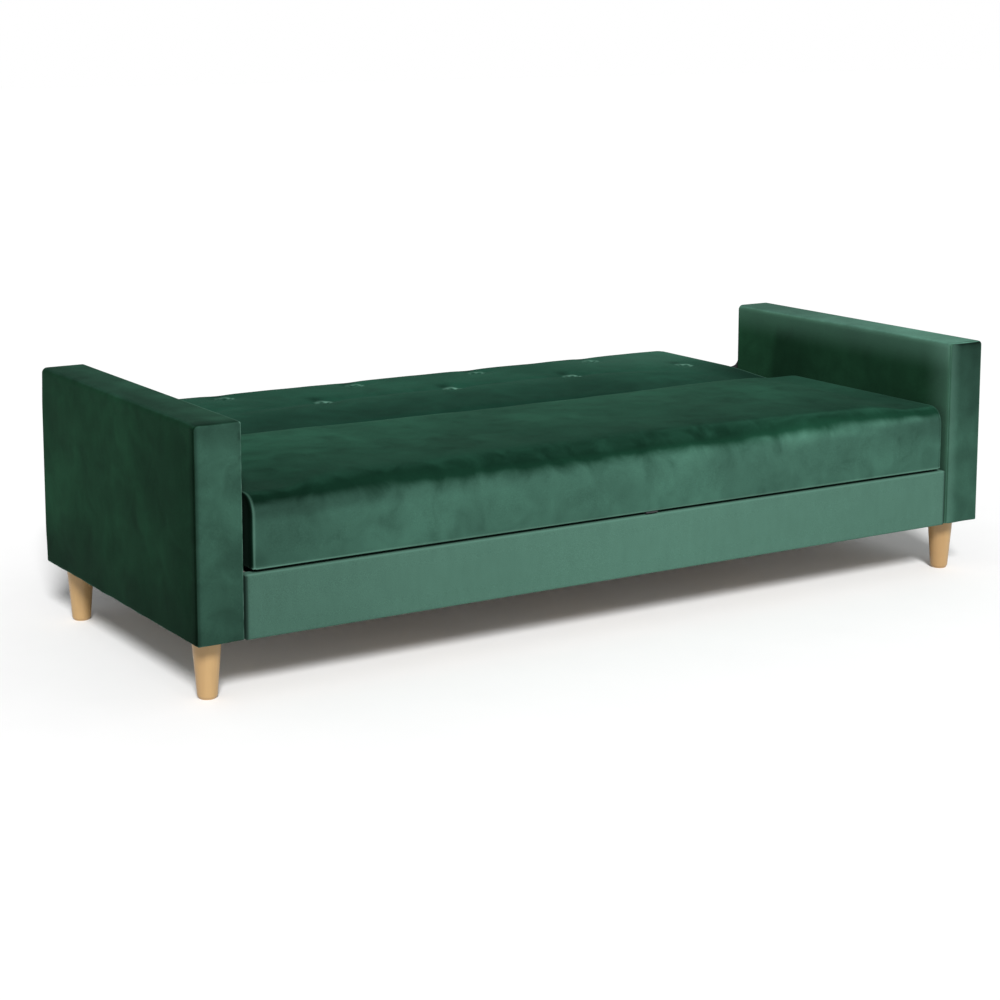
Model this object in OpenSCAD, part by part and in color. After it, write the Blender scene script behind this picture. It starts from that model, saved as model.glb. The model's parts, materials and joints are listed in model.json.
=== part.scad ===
/* [Overall] */
// Width over both arms
sofa_w = 2040; // [1800:10:2300]
// Depth of the opened bed, from the arms' front to the back's free edge
bed_depth = 1140; // [1125:5:1180]
// Height of the arms above the floor
arm_h = 560; // [520:5:620]

/* [Arms and legs] */
// Depth of an arm, front to rear
arm_depth = 800; // [780:5:840]
// Thickness of an arm
arm_t = 100; // [90:2:120]
// Height of the legs
leg_h = 125; // [110:5:140]
// Diameter at the top of a leg
leg_top_d = 60; // [50:2:70]
// Diameter at the foot of a leg
leg_foot_d = 40; // [30:2:46]
// Distance of a leg's centre from the front and rear of its arm
leg_inset = 70; // [60:5:90]

/* [Cushions] */
// Height of the underside of the seat
seat_z = 262; // [260:1:264]
// Height of the seat's top surface
seat_top_z = 414; // [405:1:420]
// Depth of the seat
seat_depth = 570; // [560:1:570]
// Height of the underside of the back when it lies flat
back_z = 265; // [265:1:268]
// Height of the back's top surface when it lies flat
back_top_z = 400; // [395:1:402]
// Distance between the back's tufts in a row
tuft_pitch = 362; // [340:2:366]

/* [Mechanism] */
// Furthest angle of the back above flat, used to place its ratchet notches
back_up_angle = 78; // [70:1:80]
// Part-way angle of the back with a notch of its own
back_lounge_angle = 38; // [30:1:45]
// Angle the pawls turn through to reach the notches
pawl_angle = 8; // [7:1:9]

/* [Hidden] */
$fn = 64;

// Colours
velvet = [0.16, 0.30, 0.23];
light_velvet = [0.32, 0.49, 0.42];
beech = [0.80, 0.66, 0.44];
pine = [0.78, 0.64, 0.42];
board = [0.62, 0.47, 0.31];
foam = [0.93, 0.90, 0.78];
black_cloth = [0.10, 0.10, 0.10];
steel = [0.35, 0.36, 0.38];
zinc = [0.72, 0.72, 0.70];
rubber = [0.07, 0.07, 0.07];

// Small amount that makes a cut run clear past a face
eps = 1;
// Radius of an edge that is all but sharp
crisp_r = 1;
sides = [-1, 1];
pair = [0, 1];

// Arm: a timber frame between fibreboard panels, in a padded cover
half_w = sofa_w / 2;
arm_in_x = half_w - arm_t;
cover_t = 4;
panel_t = 3;
arm_base_z = leg_h;
cloth_t = 1;
arm_outer_r = 18;
arm_inner_r = 8;
arm_end_r = 6;
timber = 40;
arm_core_t = arm_t - 2 * (cover_t + panel_t);
arm_core_x = arm_in_x + cover_t + panel_t;
arm_rail_z = arm_base_z + cloth_t;
arm_core_top = arm_h - arm_outer_r;
arm_bays = 4;
arm_bay_pitch = (arm_depth - 2 * cover_t - timber) / arm_bays;

// Legs and their hanger bolts
leg_x = half_w - arm_t / 2;
leg_ys = [leg_inset, arm_depth - leg_inset];
foot_bevel = 3;
bolt_d = 8;
leg_bore_depth = 40;
nut_plate = 44;
nut_plate_t = 2;
nut_boss_d = 13;
nut_boss_h = 9;

// Storage box between the arms
arm_gap = 5.5;
inner_half_w = arm_in_x - arm_gap;
box_t = 18;
box_side_x = inner_half_w - box_t;
box_top_z = 250;
box_base_z = leg_h;
box_rear_y = 740;
skin_t = 4;
front_board_top = box_top_z + 3;
fold_t = 2;
floor_t = 4;
batten = 20;
floor_z = box_base_z + batten;
cross_batten_count = 5;
fixing_inset = 30;
fixing_ys = [for (i = [0:arm_bays - 1]) cover_t + fixing_inset + i * arm_bay_pitch];
fixing_z = 200;
fixing_head_d = 16;
fixing_head_t = 6;
fixing_reach = 30;
spacer_d = 30;
buffer_d = 14;
seat_buffer_ys = [70, 300];
back_buffer_y = 715;
buffer_gap = 0.4;

// Hinge stack, from the arm inwards: base plate, washer, moving plate, rivet head
plate_t = 4;
base_plate_x = inner_half_w;
washer_t = 1.8;
plate_gap = 0.4;
moving_x = base_plate_x - washer_t - plate_gap - plate_t;
rivet_head_t = 2.8;
rivet_end_t = 1.2;
rivet_r = 5;
running_clearance = 0.05;
rivet_head_r = 8;
washer_r = 13;

// Foot of the hinge plate, and the webs that rise from it to its bosses
hinge_foot_ys = [500, 735];
hinge_foot_z = 155;
seat_web_ys = [512, 632];
back_web_ys = [585, 735];
pawl_web_ys = [572, 640];
stop_web_ys = [680, 735];
web_lean = 20;

// Pivots, as [distance from the arms' front, height]
seat_pivot = [540, 368];
back_pivot = [646, 330];
notch_radius = 34;
notch_r = 4.5;
notch_angle = 205;
pawl_length = 40;
pawl_nose_r = 3;
pawl_bar_w = 7;
pawl_seat = 0.5;
pawl_tail = 30;
pawl_tail_w = 10;
pawl_boss_r = 9;
pawl_lean = 45;
pawl_nose = back_pivot + polar(notch_radius + pawl_seat, notch_angle);
pawl_pivot = pawl_nose + polar(pawl_length, notch_angle + pawl_lean);
pawl_rest_angle = notch_angle + pawl_lean - 180 + pawl_angle;
boss_r = 22;
stop_pin_r = 6;
stop_pin_at = [715, 283.7];
bracket_bolt_places = [[520, 175], [520, 225], [715, 175], [715, 225]];

// Straps bolted to the cushions' ends
strap_w = 36;
strap_end_r = strap_w / 2;
seat_strap_z = 277;
seat_strap_ys = [300, 500];
seat_strap_bend = 50;
seat_screw_ys = [330, 390, 450];
seat_screw_z = 295;
back_strap_z = 290;
back_strap_ys = [660, 798];
back_screw_ys = [704, 742, 780];
back_screw_z = 306;
pad_r = 12;
screw_d = 8;
screw_head_r = 7;
screw_head_t = 1.8;
screw_reach = 30;

// Cushions
cushion_gap = 17;
cushion_half_w = arm_in_x - cushion_gap;
sleeve_t = 3;
cushion_end_r = 15;
cushion_foot_r = 4;
seat_corner_rs = [9, 9];
back_corner_rs = [15, 26];
seat_front_r = 45;
seat_rear_r = 35;
seat_foot_r = 6;
back_overhang = 50;
back_front_y = back_pivot.x - back_overhang;
back_front_r = 40;
back_front_foot_r = 25;
back_rear_r = 30;
back_rear_foot_r = 20;
rail_w = 35;
rail_h = 55;
frame_inset = 6;
strap_t = 2;
web_w = 60;
cross_rail_count = 4;
base_cloth_margin = 20;
seat_frame_ys = [frame_inset, seat_depth - frame_inset];
seat_frame_z = seat_z + sleeve_t;
back_frame_ys = [back_front_y + back_front_foot_r, bed_depth - back_rear_foot_r];
back_frame_z = back_z + sleeve_t;
tab_x = 57;
tab_w = 30;
tab_reach = 60;
tab_t = 3;

// Mesh gussets at the rear of the arms, each with a flange on the arm's rear face
guard_x = arm_in_x + 5;
guard_z = 300;
guard_out = 36;
guard_lip = 2;
guard_flange = 25;

// Tufts of the back: dimples in two rows that are half a pitch apart
tuft_row_insets = [245, 65];
tuft_row_ys = [for (inset = tuft_row_insets) bed_depth - inset];
tufts_per_row = 5;
tuft_r = 40;
tuft_depth = 16;
// A webbing strap runs under each tuft
web_count = 2 * tufts_per_row;
web_reach = (web_count - 1) * tuft_pitch / 4;
tie_r = 1.2;
tie_hole_r = 1.6;
tie_button_r = 8;
tie_button_t = 2;
tie_button_z = back_top_z - tuft_depth - sleeve_t - tie_button_t;

// Point at a distance and an angle from the origin
function polar(r, a) = [r * cos(a), r * sin(a)];
// Places spread evenly from one end to the other, both included
function spread(a, b, count) = [for (i = [0:count - 1]) a + (b - a) * i / (count - 1)];
// Where the tufts of one row lie across the sofa
function tuft_xs(row) = [
    for (i = [0:tufts_per_row - 1])
        (i - (tufts_per_row - 1) / 2) * tuft_pitch + (row == 0 ? 1 : -1) * tuft_pitch / 4
];

// Everything is drawn from the arms' front; the origin is under the middle of the bed
module from_front() {
    translate([0, -bed_depth / 2, 0])
        children();
}

// Mirrors the right-hand shape to side -1, the left, or leaves it at side 1
module on_side(side) {
    scale_x = side < 0 ? 1 : 0;
    mirror([scale_x, 0, 0])
        children();
}

// Extrudes a (depth, height) outline from x0 to x1
module along_x(x0, x1) {
    translate([x0, 0, 0])
        rotate([90, 0, 90])
            linear_extrude(x1 - x0)
                children();
}

// Extrudes a (width, height) outline from y0 to y1
module along_y(y0, y1) {
    translate([0, y1, 0])
        rotate([90, 0, 0])
            linear_extrude(y1 - y0)
                children();
}

// Box between two opposite corners
module box(low, high) {
    translate(low)
        cube(high - low);
}

// Cylinder that lies across the sofa from x0 to x1, at a (depth, height) point
module rod_x(x0, x1, at, r) {
    translate([x0, at.x, at.y])
        rotate([0, 90, 0])
            cylinder(h = x1 - x0, r = r);
}

// Rectangle between two corners, radii in turn from the lower left, anticlockwise
module rounded_rect(low, high, radii) {
    corners = [low, [high.x, low.y], high, [low.x, high.y]];
    inward = [[1, 1], [-1, 1], [-1, -1], [1, -1]];
    cuts = [
        for (i = [0:3])
            let (r = radii[i], c = corners[i], d = inward[i])
                i % 2 == 0
                    ? [c + [0, d.y * r], c + [d.x * r, 0]]
                    : [c + [d.x * r, 0], c + [0, d.y * r]]
    ];
    polygon([for (cut = cuts) each cut]);
    for (i = [0:3])
        translate(corners[i] + inward[i] * radii[i])
            circle(r = radii[i]);
}

// Straight bar with round ends between two (depth, height) points
module bar(a, b, w) {
    run = b - a;
    translate(a)
        rotate(atan2(run.y, run.x)) {
            translate([0, -w / 2])
                square([norm(run), w]);
            circle(d = w);
            translate([norm(run), 0])
                circle(d = w);
        }
}

/* Arms */

// Block with the arm's rounded edges, drawn in by an inset all round
module arm_block(inset) {
    intersection() {
        along_y(inset, arm_depth - inset)
            rounded_rect(
                [arm_in_x + inset, arm_base_z],
                [half_w - inset, arm_h - inset],
                [crisp_r, crisp_r, arm_outer_r - inset, arm_inner_r - inset]
            );
        translate([0, 0, arm_base_z])
            linear_extrude(arm_h - arm_base_z)
                rounded_rect(
                    [arm_in_x + inset, inset],
                    [half_w - inset, arm_depth - inset],
                    [for (i = [0:3]) arm_end_r - inset]
                );
    }
}

module arm_cover(side) {
    color(velvet)
        from_front()
            on_side(side)
                difference() {
                    arm_block(0);
                    arm_block(cover_t);
                    box(
                        [arm_in_x + cover_t, cover_t, arm_base_z - eps],
                        [half_w - cover_t, arm_depth - cover_t, arm_base_z + 2 * eps]
                    );
                    for (y = fixing_ys)
                        rod_x(arm_in_x - eps, arm_core_x, [y, fixing_z], bolt_d / 2);
                }
}

module arm_frame(side) {
    y0 = cover_t;
    y1 = arm_depth - cover_t;
    level_h = (arm_core_top - arm_rail_z - timber) / 2;
    color(pine)
        from_front()
            on_side(side)
                difference() {
                    along_x(arm_core_x, arm_core_x + arm_core_t)
                        difference() {
                            rounded_rect(
                                [y0, arm_rail_z],
                                [y1, arm_core_top],
                                [crisp_r, crisp_r, crisp_r, crisp_r]
                            );
                            for (bay = [0:arm_bays - 1], level = pair)
                                translate([
                                    y0 + timber + bay * arm_bay_pitch,
                                    arm_rail_z + timber + level * level_h
                                ])
                                    square([arm_bay_pitch - timber, level_h - timber]);
                        }
                    for (y = leg_ys)
                        translate([leg_x, y, arm_rail_z - eps])
                            cylinder(h = timber + 2 * eps, d = bolt_d);
                    for (y = fixing_ys)
                        rod_x(arm_core_x - eps, arm_core_x + fixing_reach, [y, fixing_z], bolt_d / 2);
                }
}

// Fibreboard on both broad faces of the frame
module arm_panels(side) {
    color(board)
        from_front()
            on_side(side)
                for (x = [arm_in_x + cover_t, arm_core_x + arm_core_t])
                    difference() {
                        box(
                            [x, cover_t + arm_end_r, arm_rail_z],
                            [x + panel_t, arm_depth - cover_t - arm_end_r, arm_core_top]
                        );
                        if (x < arm_core_x)
                            for (y = fixing_ys)
                                rod_x(x - eps, x + panel_t + eps, [y, fixing_z], bolt_d / 2);
                    }
}

module arm_base_cloth(side) {
    color(black_cloth)
        from_front()
            on_side(side)
                difference() {
                    box(
                        [arm_in_x + cover_t, cover_t, arm_base_z],
                        [half_w - cover_t, arm_depth - cover_t, arm_base_z + cloth_t]
                    );
                    for (y = leg_ys)
                        translate([leg_x, y, arm_base_z - eps])
                            cylinder(h = cloth_t + 2 * eps, d = bolt_d);
                }
}

/* Legs */

module leg(side, y) {
    bevelled = leg_foot_d / 2 - foot_bevel;
    bevel_h = 2 * foot_bevel;
    slope = (leg_top_d - leg_foot_d) / 2 / leg_h;
    color(beech)
        from_front()
            translate([side * leg_x, y, 0])
                difference() {
                    rotate_extrude()
                        polygon([
                            [0, 0],
                            [bevelled, 0],
                            [leg_foot_d / 2 + slope * bevel_h, bevel_h],
                            [leg_top_d / 2, leg_h],
                            [0, leg_h]
                        ]);
                    translate([0, 0, leg_h - leg_bore_depth])
                        cylinder(h = leg_bore_depth + eps, d = bolt_d);
                }
}

module at_each_leg() {
    from_front()
        for (side = sides, y = leg_ys)
            translate([side * leg_x, y, 0])
                children();
}

module leg_bolts() {
    color(zinc)
        at_each_leg()
            translate([0, 0, leg_h - leg_bore_depth])
                cylinder(h = leg_bore_depth + cloth_t + timber + nut_boss_h, d = bolt_d);
}

module leg_nut_plates() {
    color(zinc)
        at_each_leg()
            translate([0, 0, arm_rail_z + timber])
                difference() {
                    union() {
                        translate([-nut_plate / 2, -nut_plate / 2, 0])
                            cube([nut_plate, nut_plate, nut_plate_t]);
                        cylinder(h = nut_boss_h, d = nut_boss_d);
                    }
                    translate([0, 0, -eps])
                        cylinder(h = nut_boss_h + 2 * eps, d = bolt_d);
                }
}

/* Storage box */

module box_front_board() {
    color(board)
        from_front()
            box(
                [-inner_half_w, skin_t, box_base_z + fold_t],
                [inner_half_w, skin_t + box_t, front_board_top]
            );
}

// Velvet over the front board, folded over its top and bottom edges
module front_panel_cover() {
    color(light_velvet)
        from_front()
            difference() {
                along_x(-inner_half_w, inner_half_w)
                    rounded_rect(
                        [0, box_base_z],
                        [skin_t + box_t, front_board_top + fold_t],
                        [skin_t - crisp_r, crisp_r, crisp_r, skin_t - crisp_r]
                    );
                box(
                    [-inner_half_w - eps, skin_t, box_base_z + fold_t],
                    [inner_half_w + eps, skin_t + box_t + eps, front_board_top]
                );
            }
}

module box_rear_board() {
    color(board)
        from_front()
            box(
                [-inner_half_w, box_rear_y, box_base_z + fold_t],
                [inner_half_w, box_rear_y + box_t, box_top_z]
            );
}

module rear_panel_cover() {
    color(velvet)
        from_front()
            box(
                [-inner_half_w, box_rear_y + box_t, box_base_z],
                [inner_half_w, box_rear_y + box_t + fold_t, box_top_z]
            );
}

module box_side(side) {
    color(board)
        from_front()
            on_side(side)
                difference() {
                    box(
                        [box_side_x, skin_t + box_t, box_base_z],
                        [inner_half_w, box_rear_y, box_top_z]
                    );
                    for (y = fixing_ys)
                        rod_x(box_side_x - eps, inner_half_w + eps, [y, fixing_z], bolt_d / 2);
                    for (at = bracket_bolt_places)
                        rod_x(box_side_x - eps, inner_half_w + eps, at, bolt_d / 2);
                }
}

module box_floor() {
    color(board)
        from_front()
            box(
                [-box_side_x, skin_t + box_t, floor_z],
                [box_side_x, box_rear_y, floor_z + floor_t]
            );
}

// Battens under the floor, along the front and rear boards
module floor_ledgers() {
    color(pine)
        from_front()
            for (y = [skin_t + box_t, box_rear_y - batten])
                box([-box_side_x, y, box_base_z], [box_side_x, y + batten, floor_z]);
}

// Battens under the floor that run front to rear, the outer ones along the sides
module cross_battens() {
    color(pine)
        from_front()
            for (x = spread(-box_side_x, box_side_x - batten, cross_batten_count))
                box(
                    [x, skin_t + box_t + batten, box_base_z],
                    [x + batten, box_rear_y - batten, floor_z]
                );
}

// Bolts from inside the box into the arm frames
module arm_fixing_bolts() {
    color(zinc)
        from_front()
            for (side = sides, y = fixing_ys)
                on_side(side) {
                    rod_x(box_side_x - fixing_head_t, box_side_x, [y, fixing_z], fixing_head_d / 2);
                    rod_x(
                        box_side_x - fixing_head_t / 2,
                        arm_core_x + fixing_reach,
                        [y, fixing_z],
                        bolt_d / 2
                    );
                }
}

// Rings that keep the box clear of the arms, thinner where the hinge plate is in the gap
module arm_spacers() {
    color(rubber)
        from_front()
            for (side = sides, y = fixing_ys)
                on_side(side)
                    difference() {
                        x = inner_half_w + (y > hinge_foot_ys[0] ? plate_t : 0);
                        rod_x(x, arm_in_x, [y, fixing_z], spacer_d / 2);
                        rod_x(x - eps, arm_in_x + eps, [y, fixing_z], bolt_d / 2);
                    }
}

// Rubber buffers that the seat and the flat back come down on
module rest_buffers() {
    color(rubber)
        from_front()
            for (side = sides) {
                x = side * (box_side_x + box_t / 2);
                for (y = seat_buffer_ys)
                    translate([x, y, box_top_z])
                        cylinder(h = seat_z - buffer_gap - box_top_z, d = buffer_d);
                translate([x, back_buffer_y, box_top_z])
                    cylinder(h = back_z - buffer_gap - box_top_z, d = buffer_d);
            }
}

/* Hinges */

// Web from a stretch of the hinge plate's foot up to a round boss
module hinge_web(ys, at, r) {
    polygon([
        [ys[0], box_top_z],
        [ys[1], box_top_z],
        at + polar(r - crisp_r, web_lean),
        at + polar(r - crisp_r, 180 - web_lean)
    ]);
    translate(at)
        circle(r = r);
}

module hinge_plate_outline() {
    translate([hinge_foot_ys[0], hinge_foot_z])
        square([hinge_foot_ys[1] - hinge_foot_ys[0], box_top_z + eps - hinge_foot_z]);
    hinge_web(seat_web_ys, seat_pivot, boss_r);
    hinge_web(back_web_ys, back_pivot, boss_r);
    hinge_web(pawl_web_ys, pawl_pivot, pawl_boss_r + 3);
    hinge_web(stop_web_ys, stop_pin_at, 2 * stop_pin_r);
}

module hinge_base(side) {
    color(steel)
        from_front()
            on_side(side)
                difference() {
                    along_x(base_plate_x, base_plate_x + plate_t)
                        hinge_plate_outline();
                    for (at = [seat_pivot, back_pivot, pawl_pivot])
                        rod_x(base_plate_x - eps, base_plate_x + plate_t + eps, at, rivet_r);
                    for (at = concat(bracket_bolt_places, [for (y = fixing_ys) [y, fixing_z]]))
                        rod_x(base_plate_x - eps, base_plate_x + plate_t + eps, at, bolt_d / 2);
                    rod_x(
                        base_plate_x - eps,
                        base_plate_x + plate_t + eps,
                        stop_pin_at,
                        stop_pin_r / 2
                    );
                }
}

// Bolts that hold the hinge plates to the box sides, with a nut inside
module bracket_bolts() {
    color(zinc)
        from_front()
            for (side = sides, at = bracket_bolt_places)
                on_side(side) {
                    rod_x(box_side_x - fixing_head_t, base_plate_x + plate_t, at, bolt_d / 2);
                    rod_x(
                        base_plate_x + plate_t,
                        base_plate_x + plate_t + rivet_end_t,
                        at,
                        fixing_head_d / 2
                    );
                    difference() {
                        rod_x(box_side_x - fixing_head_t, box_side_x, at, fixing_head_d / 2);
                        rod_x(box_side_x - 2 * fixing_head_t, box_side_x + eps, at, bolt_d / 2);
                    }
                }
}

// Shouldered rivets that the seat, the back and the pawls turn on
module pivot_rivets() {
    color(zinc)
        from_front()
            for (side = sides, at = [seat_pivot, back_pivot, pawl_pivot])
                on_side(side) {
                    inner = moving_x - plate_gap;
                    outer = base_plate_x + plate_t;
                    rod_x(inner - rivet_head_t, inner, at, rivet_head_r);
                    rod_x(inner, outer, at, rivet_r);
                    rod_x(outer, outer + rivet_end_t, at, rivet_head_r);
                }
}

module hinge_washers() {
    color(zinc)
        from_front()
            for (side = sides, at = [seat_pivot, back_pivot, pawl_pivot])
                on_side(side)
                    difference() {
                        r = at == pawl_pivot ? pawl_boss_r : washer_r;
                        rod_x(base_plate_x - washer_t, base_plate_x, at, r);
                        rod_x(base_plate_x - washer_t - eps, base_plate_x + eps, at, rivet_r);
                    }
}

// Pins under the back's straps that stop it flat
module stop_pins() {
    color(zinc)
        from_front()
            for (side = sides)
                on_side(side) {
                    rod_x(moving_x, base_plate_x, stop_pin_at, stop_pin_r);
                    rod_x(base_plate_x, base_plate_x + plate_t, stop_pin_at, stop_pin_r / 2);
                }
}

// Mesh gusset that closes the corner between the rear of an arm and the back
module hinge_guard(side) {
    top = back_top_z + guard_out;
    rear = arm_depth + guard_out;
    color(black_cloth)
        from_front()
            on_side(side) {
                along_x(guard_x, guard_x + cloth_t)
                    difference() {
                        polygon([
                            [arm_depth, guard_z],
                            [rear, back_top_z - guard_out],
                            [rear, top],
                            [arm_depth, top]
                        ]);
                        translate([rear, top])
                            circle(r = guard_out - guard_lip);
                    }
                box(
                    [guard_x, arm_depth, guard_z],
                    [guard_x + guard_flange, arm_depth + cloth_t, top]
                );
            }
}

/* Cushions: a timber frame with webbing, a foam block and a sewn cover */

module seat_outline(inset) {
    rounded_rect(
        [inset, seat_z + inset],
        [seat_depth - inset, seat_top_z - inset],
        [for (r = [seat_foot_r, seat_foot_r, seat_rear_r, seat_front_r]) r - inset]
    );
}

module back_outline(inset) {
    rounded_rect(
        [back_front_y + inset, back_z + inset],
        [bed_depth - inset, back_top_z - inset],
        [
            for (r = [back_front_foot_r, back_rear_foot_r, back_rear_r, back_front_r])
                r - inset
        ]
    );
}

// Cushion outline given as a child, from end to end, rounded there in front view and in plan
module cushion_block(low, high, corner_rs, inset) {
    half = cushion_half_w - inset;
    end_r = cushion_end_r - inset;
    foot_r = cushion_foot_r - inset;
    front_r = corner_rs[0] - inset;
    rear_r = corner_rs[1] - inset;
    intersection() {
        along_x(-half, half)
            children();
        along_y(-eps, bed_depth + eps)
            rounded_rect(
                [-half, low.y + inset],
                [half, high.y - inset],
                [foot_r, foot_r, end_r, end_r]
            );
        linear_extrude(high.y + eps)
            rounded_rect(
                [-half, low.x + inset],
                [half, high.x - inset],
                [front_r, front_r, rear_r, rear_r]
            );
    }
}

module seat_block(inset) {
    cushion_block([0, seat_z], [seat_depth, seat_top_z], seat_corner_rs, inset)
        seat_outline(inset);
}

module back_block(inset) {
    cushion_block([back_front_y, back_z], [bed_depth, back_top_z], back_corner_rs, inset)
        back_outline(inset);
}

// Opening in the underside of a cover, closed by the base cloth
module underside(y0, y1, z0, z1) {
    half = cushion_half_w - base_cloth_margin;
    box([-half, y0, z0], [half, y1, z1]);
}

// Holes for the strap screws through both ends of a cushion
module screw_holes(ys, z) {
    for (side = sides, y = ys)
        on_side(side)
            rod_x(cushion_half_w - screw_reach, cushion_half_w + eps, [y, z], screw_d / 2);
}

// Timber frame with cross rails, from y0 to y1 and from z0 up
module cushion_frame(y0, y1, z0) {
    half = cushion_half_w - cushion_foot_r;
    bay = (2 * half - rail_w) / (cross_rail_count + 1);
    difference() {
        box([-half, y0, z0], [half, y1, z0 + rail_h]);
        for (i = [0:cross_rail_count])
            box(
                [-half + rail_w + i * bay, y0 + rail_w, z0 - eps],
                [-half + (i + 1) * bay, y1 - rail_w, z0 + rail_h + eps]
            );
    }
}

// Elastic webbing straps on top of a frame
module cushion_webbing(y0, y1, z0) {
    for (x = spread(-web_reach, web_reach, web_count))
        box([x - web_w / 2, y0, z0], [x + web_w / 2, y1, z0 + strap_t]);
}

module seat_frame() {
    color(pine)
        from_front()
            difference() {
                cushion_frame(seat_frame_ys[0], seat_frame_ys[1], seat_frame_z);
                screw_holes(seat_screw_ys, seat_screw_z);
            }
}

module seat_webbing() {
    color(black_cloth)
        from_front()
            cushion_webbing(
                seat_frame_ys[0] + rail_w / 2,
                seat_frame_ys[1] - rail_w / 2,
                seat_frame_z + rail_h
            );
}

module seat_foam() {
    color(foam)
        from_front()
            intersection() {
                seat_block(sleeve_t);
                box(
                    [-half_w, 0, seat_frame_z + rail_h + strap_t],
                    [half_w, bed_depth, seat_top_z]
                );
            }
}

module seat_cover() {
    color(velvet)
        from_front()
            difference() {
                seat_block(0);
                seat_block(sleeve_t);
                underside(
                    base_cloth_margin,
                    seat_depth - base_cloth_margin,
                    seat_z - eps,
                    seat_z + sleeve_t + eps
                );
                screw_holes(seat_screw_ys, seat_screw_z);
            }
}

module seat_base_cloth() {
    color(black_cloth)
        from_front()
            underside(
                base_cloth_margin,
                seat_depth - base_cloth_margin,
                seat_z + sleeve_t - cloth_t,
                seat_z + sleeve_t
            );
}

// Webbing loop under the front edge, to lift the seat by
module seat_pull_tab() {
    color(black_cloth)
        from_front()
            box(
                [tab_x - tab_w / 2, 1, seat_z - tab_t],
                [tab_x + tab_w / 2, tab_reach, seat_z]
            );
}

// Steel strap from the seat's pivot along its end
module seat_arm(side) {
    low = seat_strap_z;
    high = seat_strap_z + strap_w;
    front = seat_strap_ys[0];
    rear = seat_strap_ys[1];
    color(steel)
        from_front()
            on_side(side)
                difference() {
                    along_x(moving_x, moving_x + plate_t) {
                        rounded_rect(
                            [front, low],
                            [rear, high],
                            [strap_end_r, crisp_r, crisp_r, strap_end_r]
                        );
                        polygon([
                            [rear - seat_strap_bend, high - crisp_r],
                            [rear - crisp_r, low],
                            seat_pivot + polar(strap_end_r, 0),
                            seat_pivot + polar(strap_end_r, 135)
                        ]);
                        translate(seat_pivot)
                            circle(r = strap_end_r + crisp_r);
                    }
                    rod_x(
                        moving_x - eps,
                        moving_x + plate_t + eps,
                        seat_pivot,
                        rivet_r + running_clearance
                    );
                    for (y = seat_screw_ys)
                        rod_x(
                            moving_x - eps,
                            moving_x + plate_t + eps,
                            [y, seat_screw_z],
                            screw_d / 2
                        );
                }
}

// Spacers between a cushion's end and its strap
module strap_pads(ys, z) {
    color(rubber)
        from_front()
            for (side = sides, y = ys)
                on_side(side)
                    difference() {
                        rod_x(cushion_half_w, moving_x, [y, z], pad_r);
                        rod_x(cushion_half_w - eps, moving_x + eps, [y, z], screw_d / 2);
                    }
}

// Screws through a strap into the side rail of a cushion's frame
module strap_screws(ys, z) {
    head_x = moving_x + plate_t;
    color(zinc)
        from_front()
            for (side = sides, y = ys)
                on_side(side) {
                    rod_x(cushion_half_w - screw_reach, head_x, [y, z], screw_d / 2);
                    rod_x(head_x, head_x + screw_head_t, [y, z], screw_head_r);
                }
}

module seat_arm_pads() {
    strap_pads(seat_screw_ys, seat_screw_z);
}

module seat_screws() {
    strap_screws(seat_screw_ys, seat_screw_z);
}

module back_frame() {
    color(pine)
        from_front()
            difference() {
                cushion_frame(back_frame_ys[0], back_frame_ys[1], back_frame_z);
                screw_holes(back_screw_ys, back_screw_z);
            }
}

module back_webbing() {
    color(black_cloth)
        from_front()
            difference() {
                cushion_webbing(
                    back_frame_ys[0] + rail_w / 2,
                    back_frame_ys[1] - rail_w / 2,
                    back_frame_z + rail_h
                );
                at_each_tuft()
                    translate([0, 0, back_frame_z + rail_h - eps])
                        cylinder(h = strap_t + 2 * eps, r = tie_hole_r);
            }
}

// Puts a child at each tuft, at floor height
module at_each_tuft() {
    for (row = pair, x = tuft_xs(row))
        translate([x, tuft_row_ys[row], 0])
            children();
}

// Balls that leave the tufts' dimples in a surface drawn in by an inset
module tuft_dimples(inset) {
    at_each_tuft()
        translate([0, 0, back_top_z - tuft_depth + tuft_r])
            sphere(r = tuft_r + inset);
}

module back_foam() {
    bed_z = back_frame_z + rail_h + strap_t;
    color(foam)
        from_front()
            difference() {
                intersection() {
                    back_block(sleeve_t);
                    box([-half_w, 0, bed_z], [half_w, bed_depth, back_top_z]);
                }
                tuft_dimples(sleeve_t);
                at_each_tuft() {
                    translate([0, 0, bed_z - eps])
                        cylinder(h = tie_button_z - bed_z + 2 * eps, r = tie_hole_r);
                    translate([0, 0, tie_button_z])
                        cylinder(h = tuft_depth, r = tie_button_r + eps);
                }
            }
}

module back_cover() {
    color(velvet)
        from_front()
            difference() {
                back_block(0);
                tuft_dimples(0);
                difference() {
                    back_block(sleeve_t);
                    tuft_dimples(sleeve_t);
                }
                underside(
                    back_frame_ys[0] + base_cloth_margin,
                    back_frame_ys[1] - base_cloth_margin,
                    back_z - eps,
                    back_z + sleeve_t + eps
                );
                screw_holes(back_screw_ys, back_screw_z);
            }
}

module back_base_cloth() {
    color(black_cloth)
        from_front()
            underside(
                back_frame_ys[0] + base_cloth_margin,
                back_frame_ys[1] - base_cloth_margin,
                back_z + sleeve_t - cloth_t,
                back_z + sleeve_t
            );
}

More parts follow.
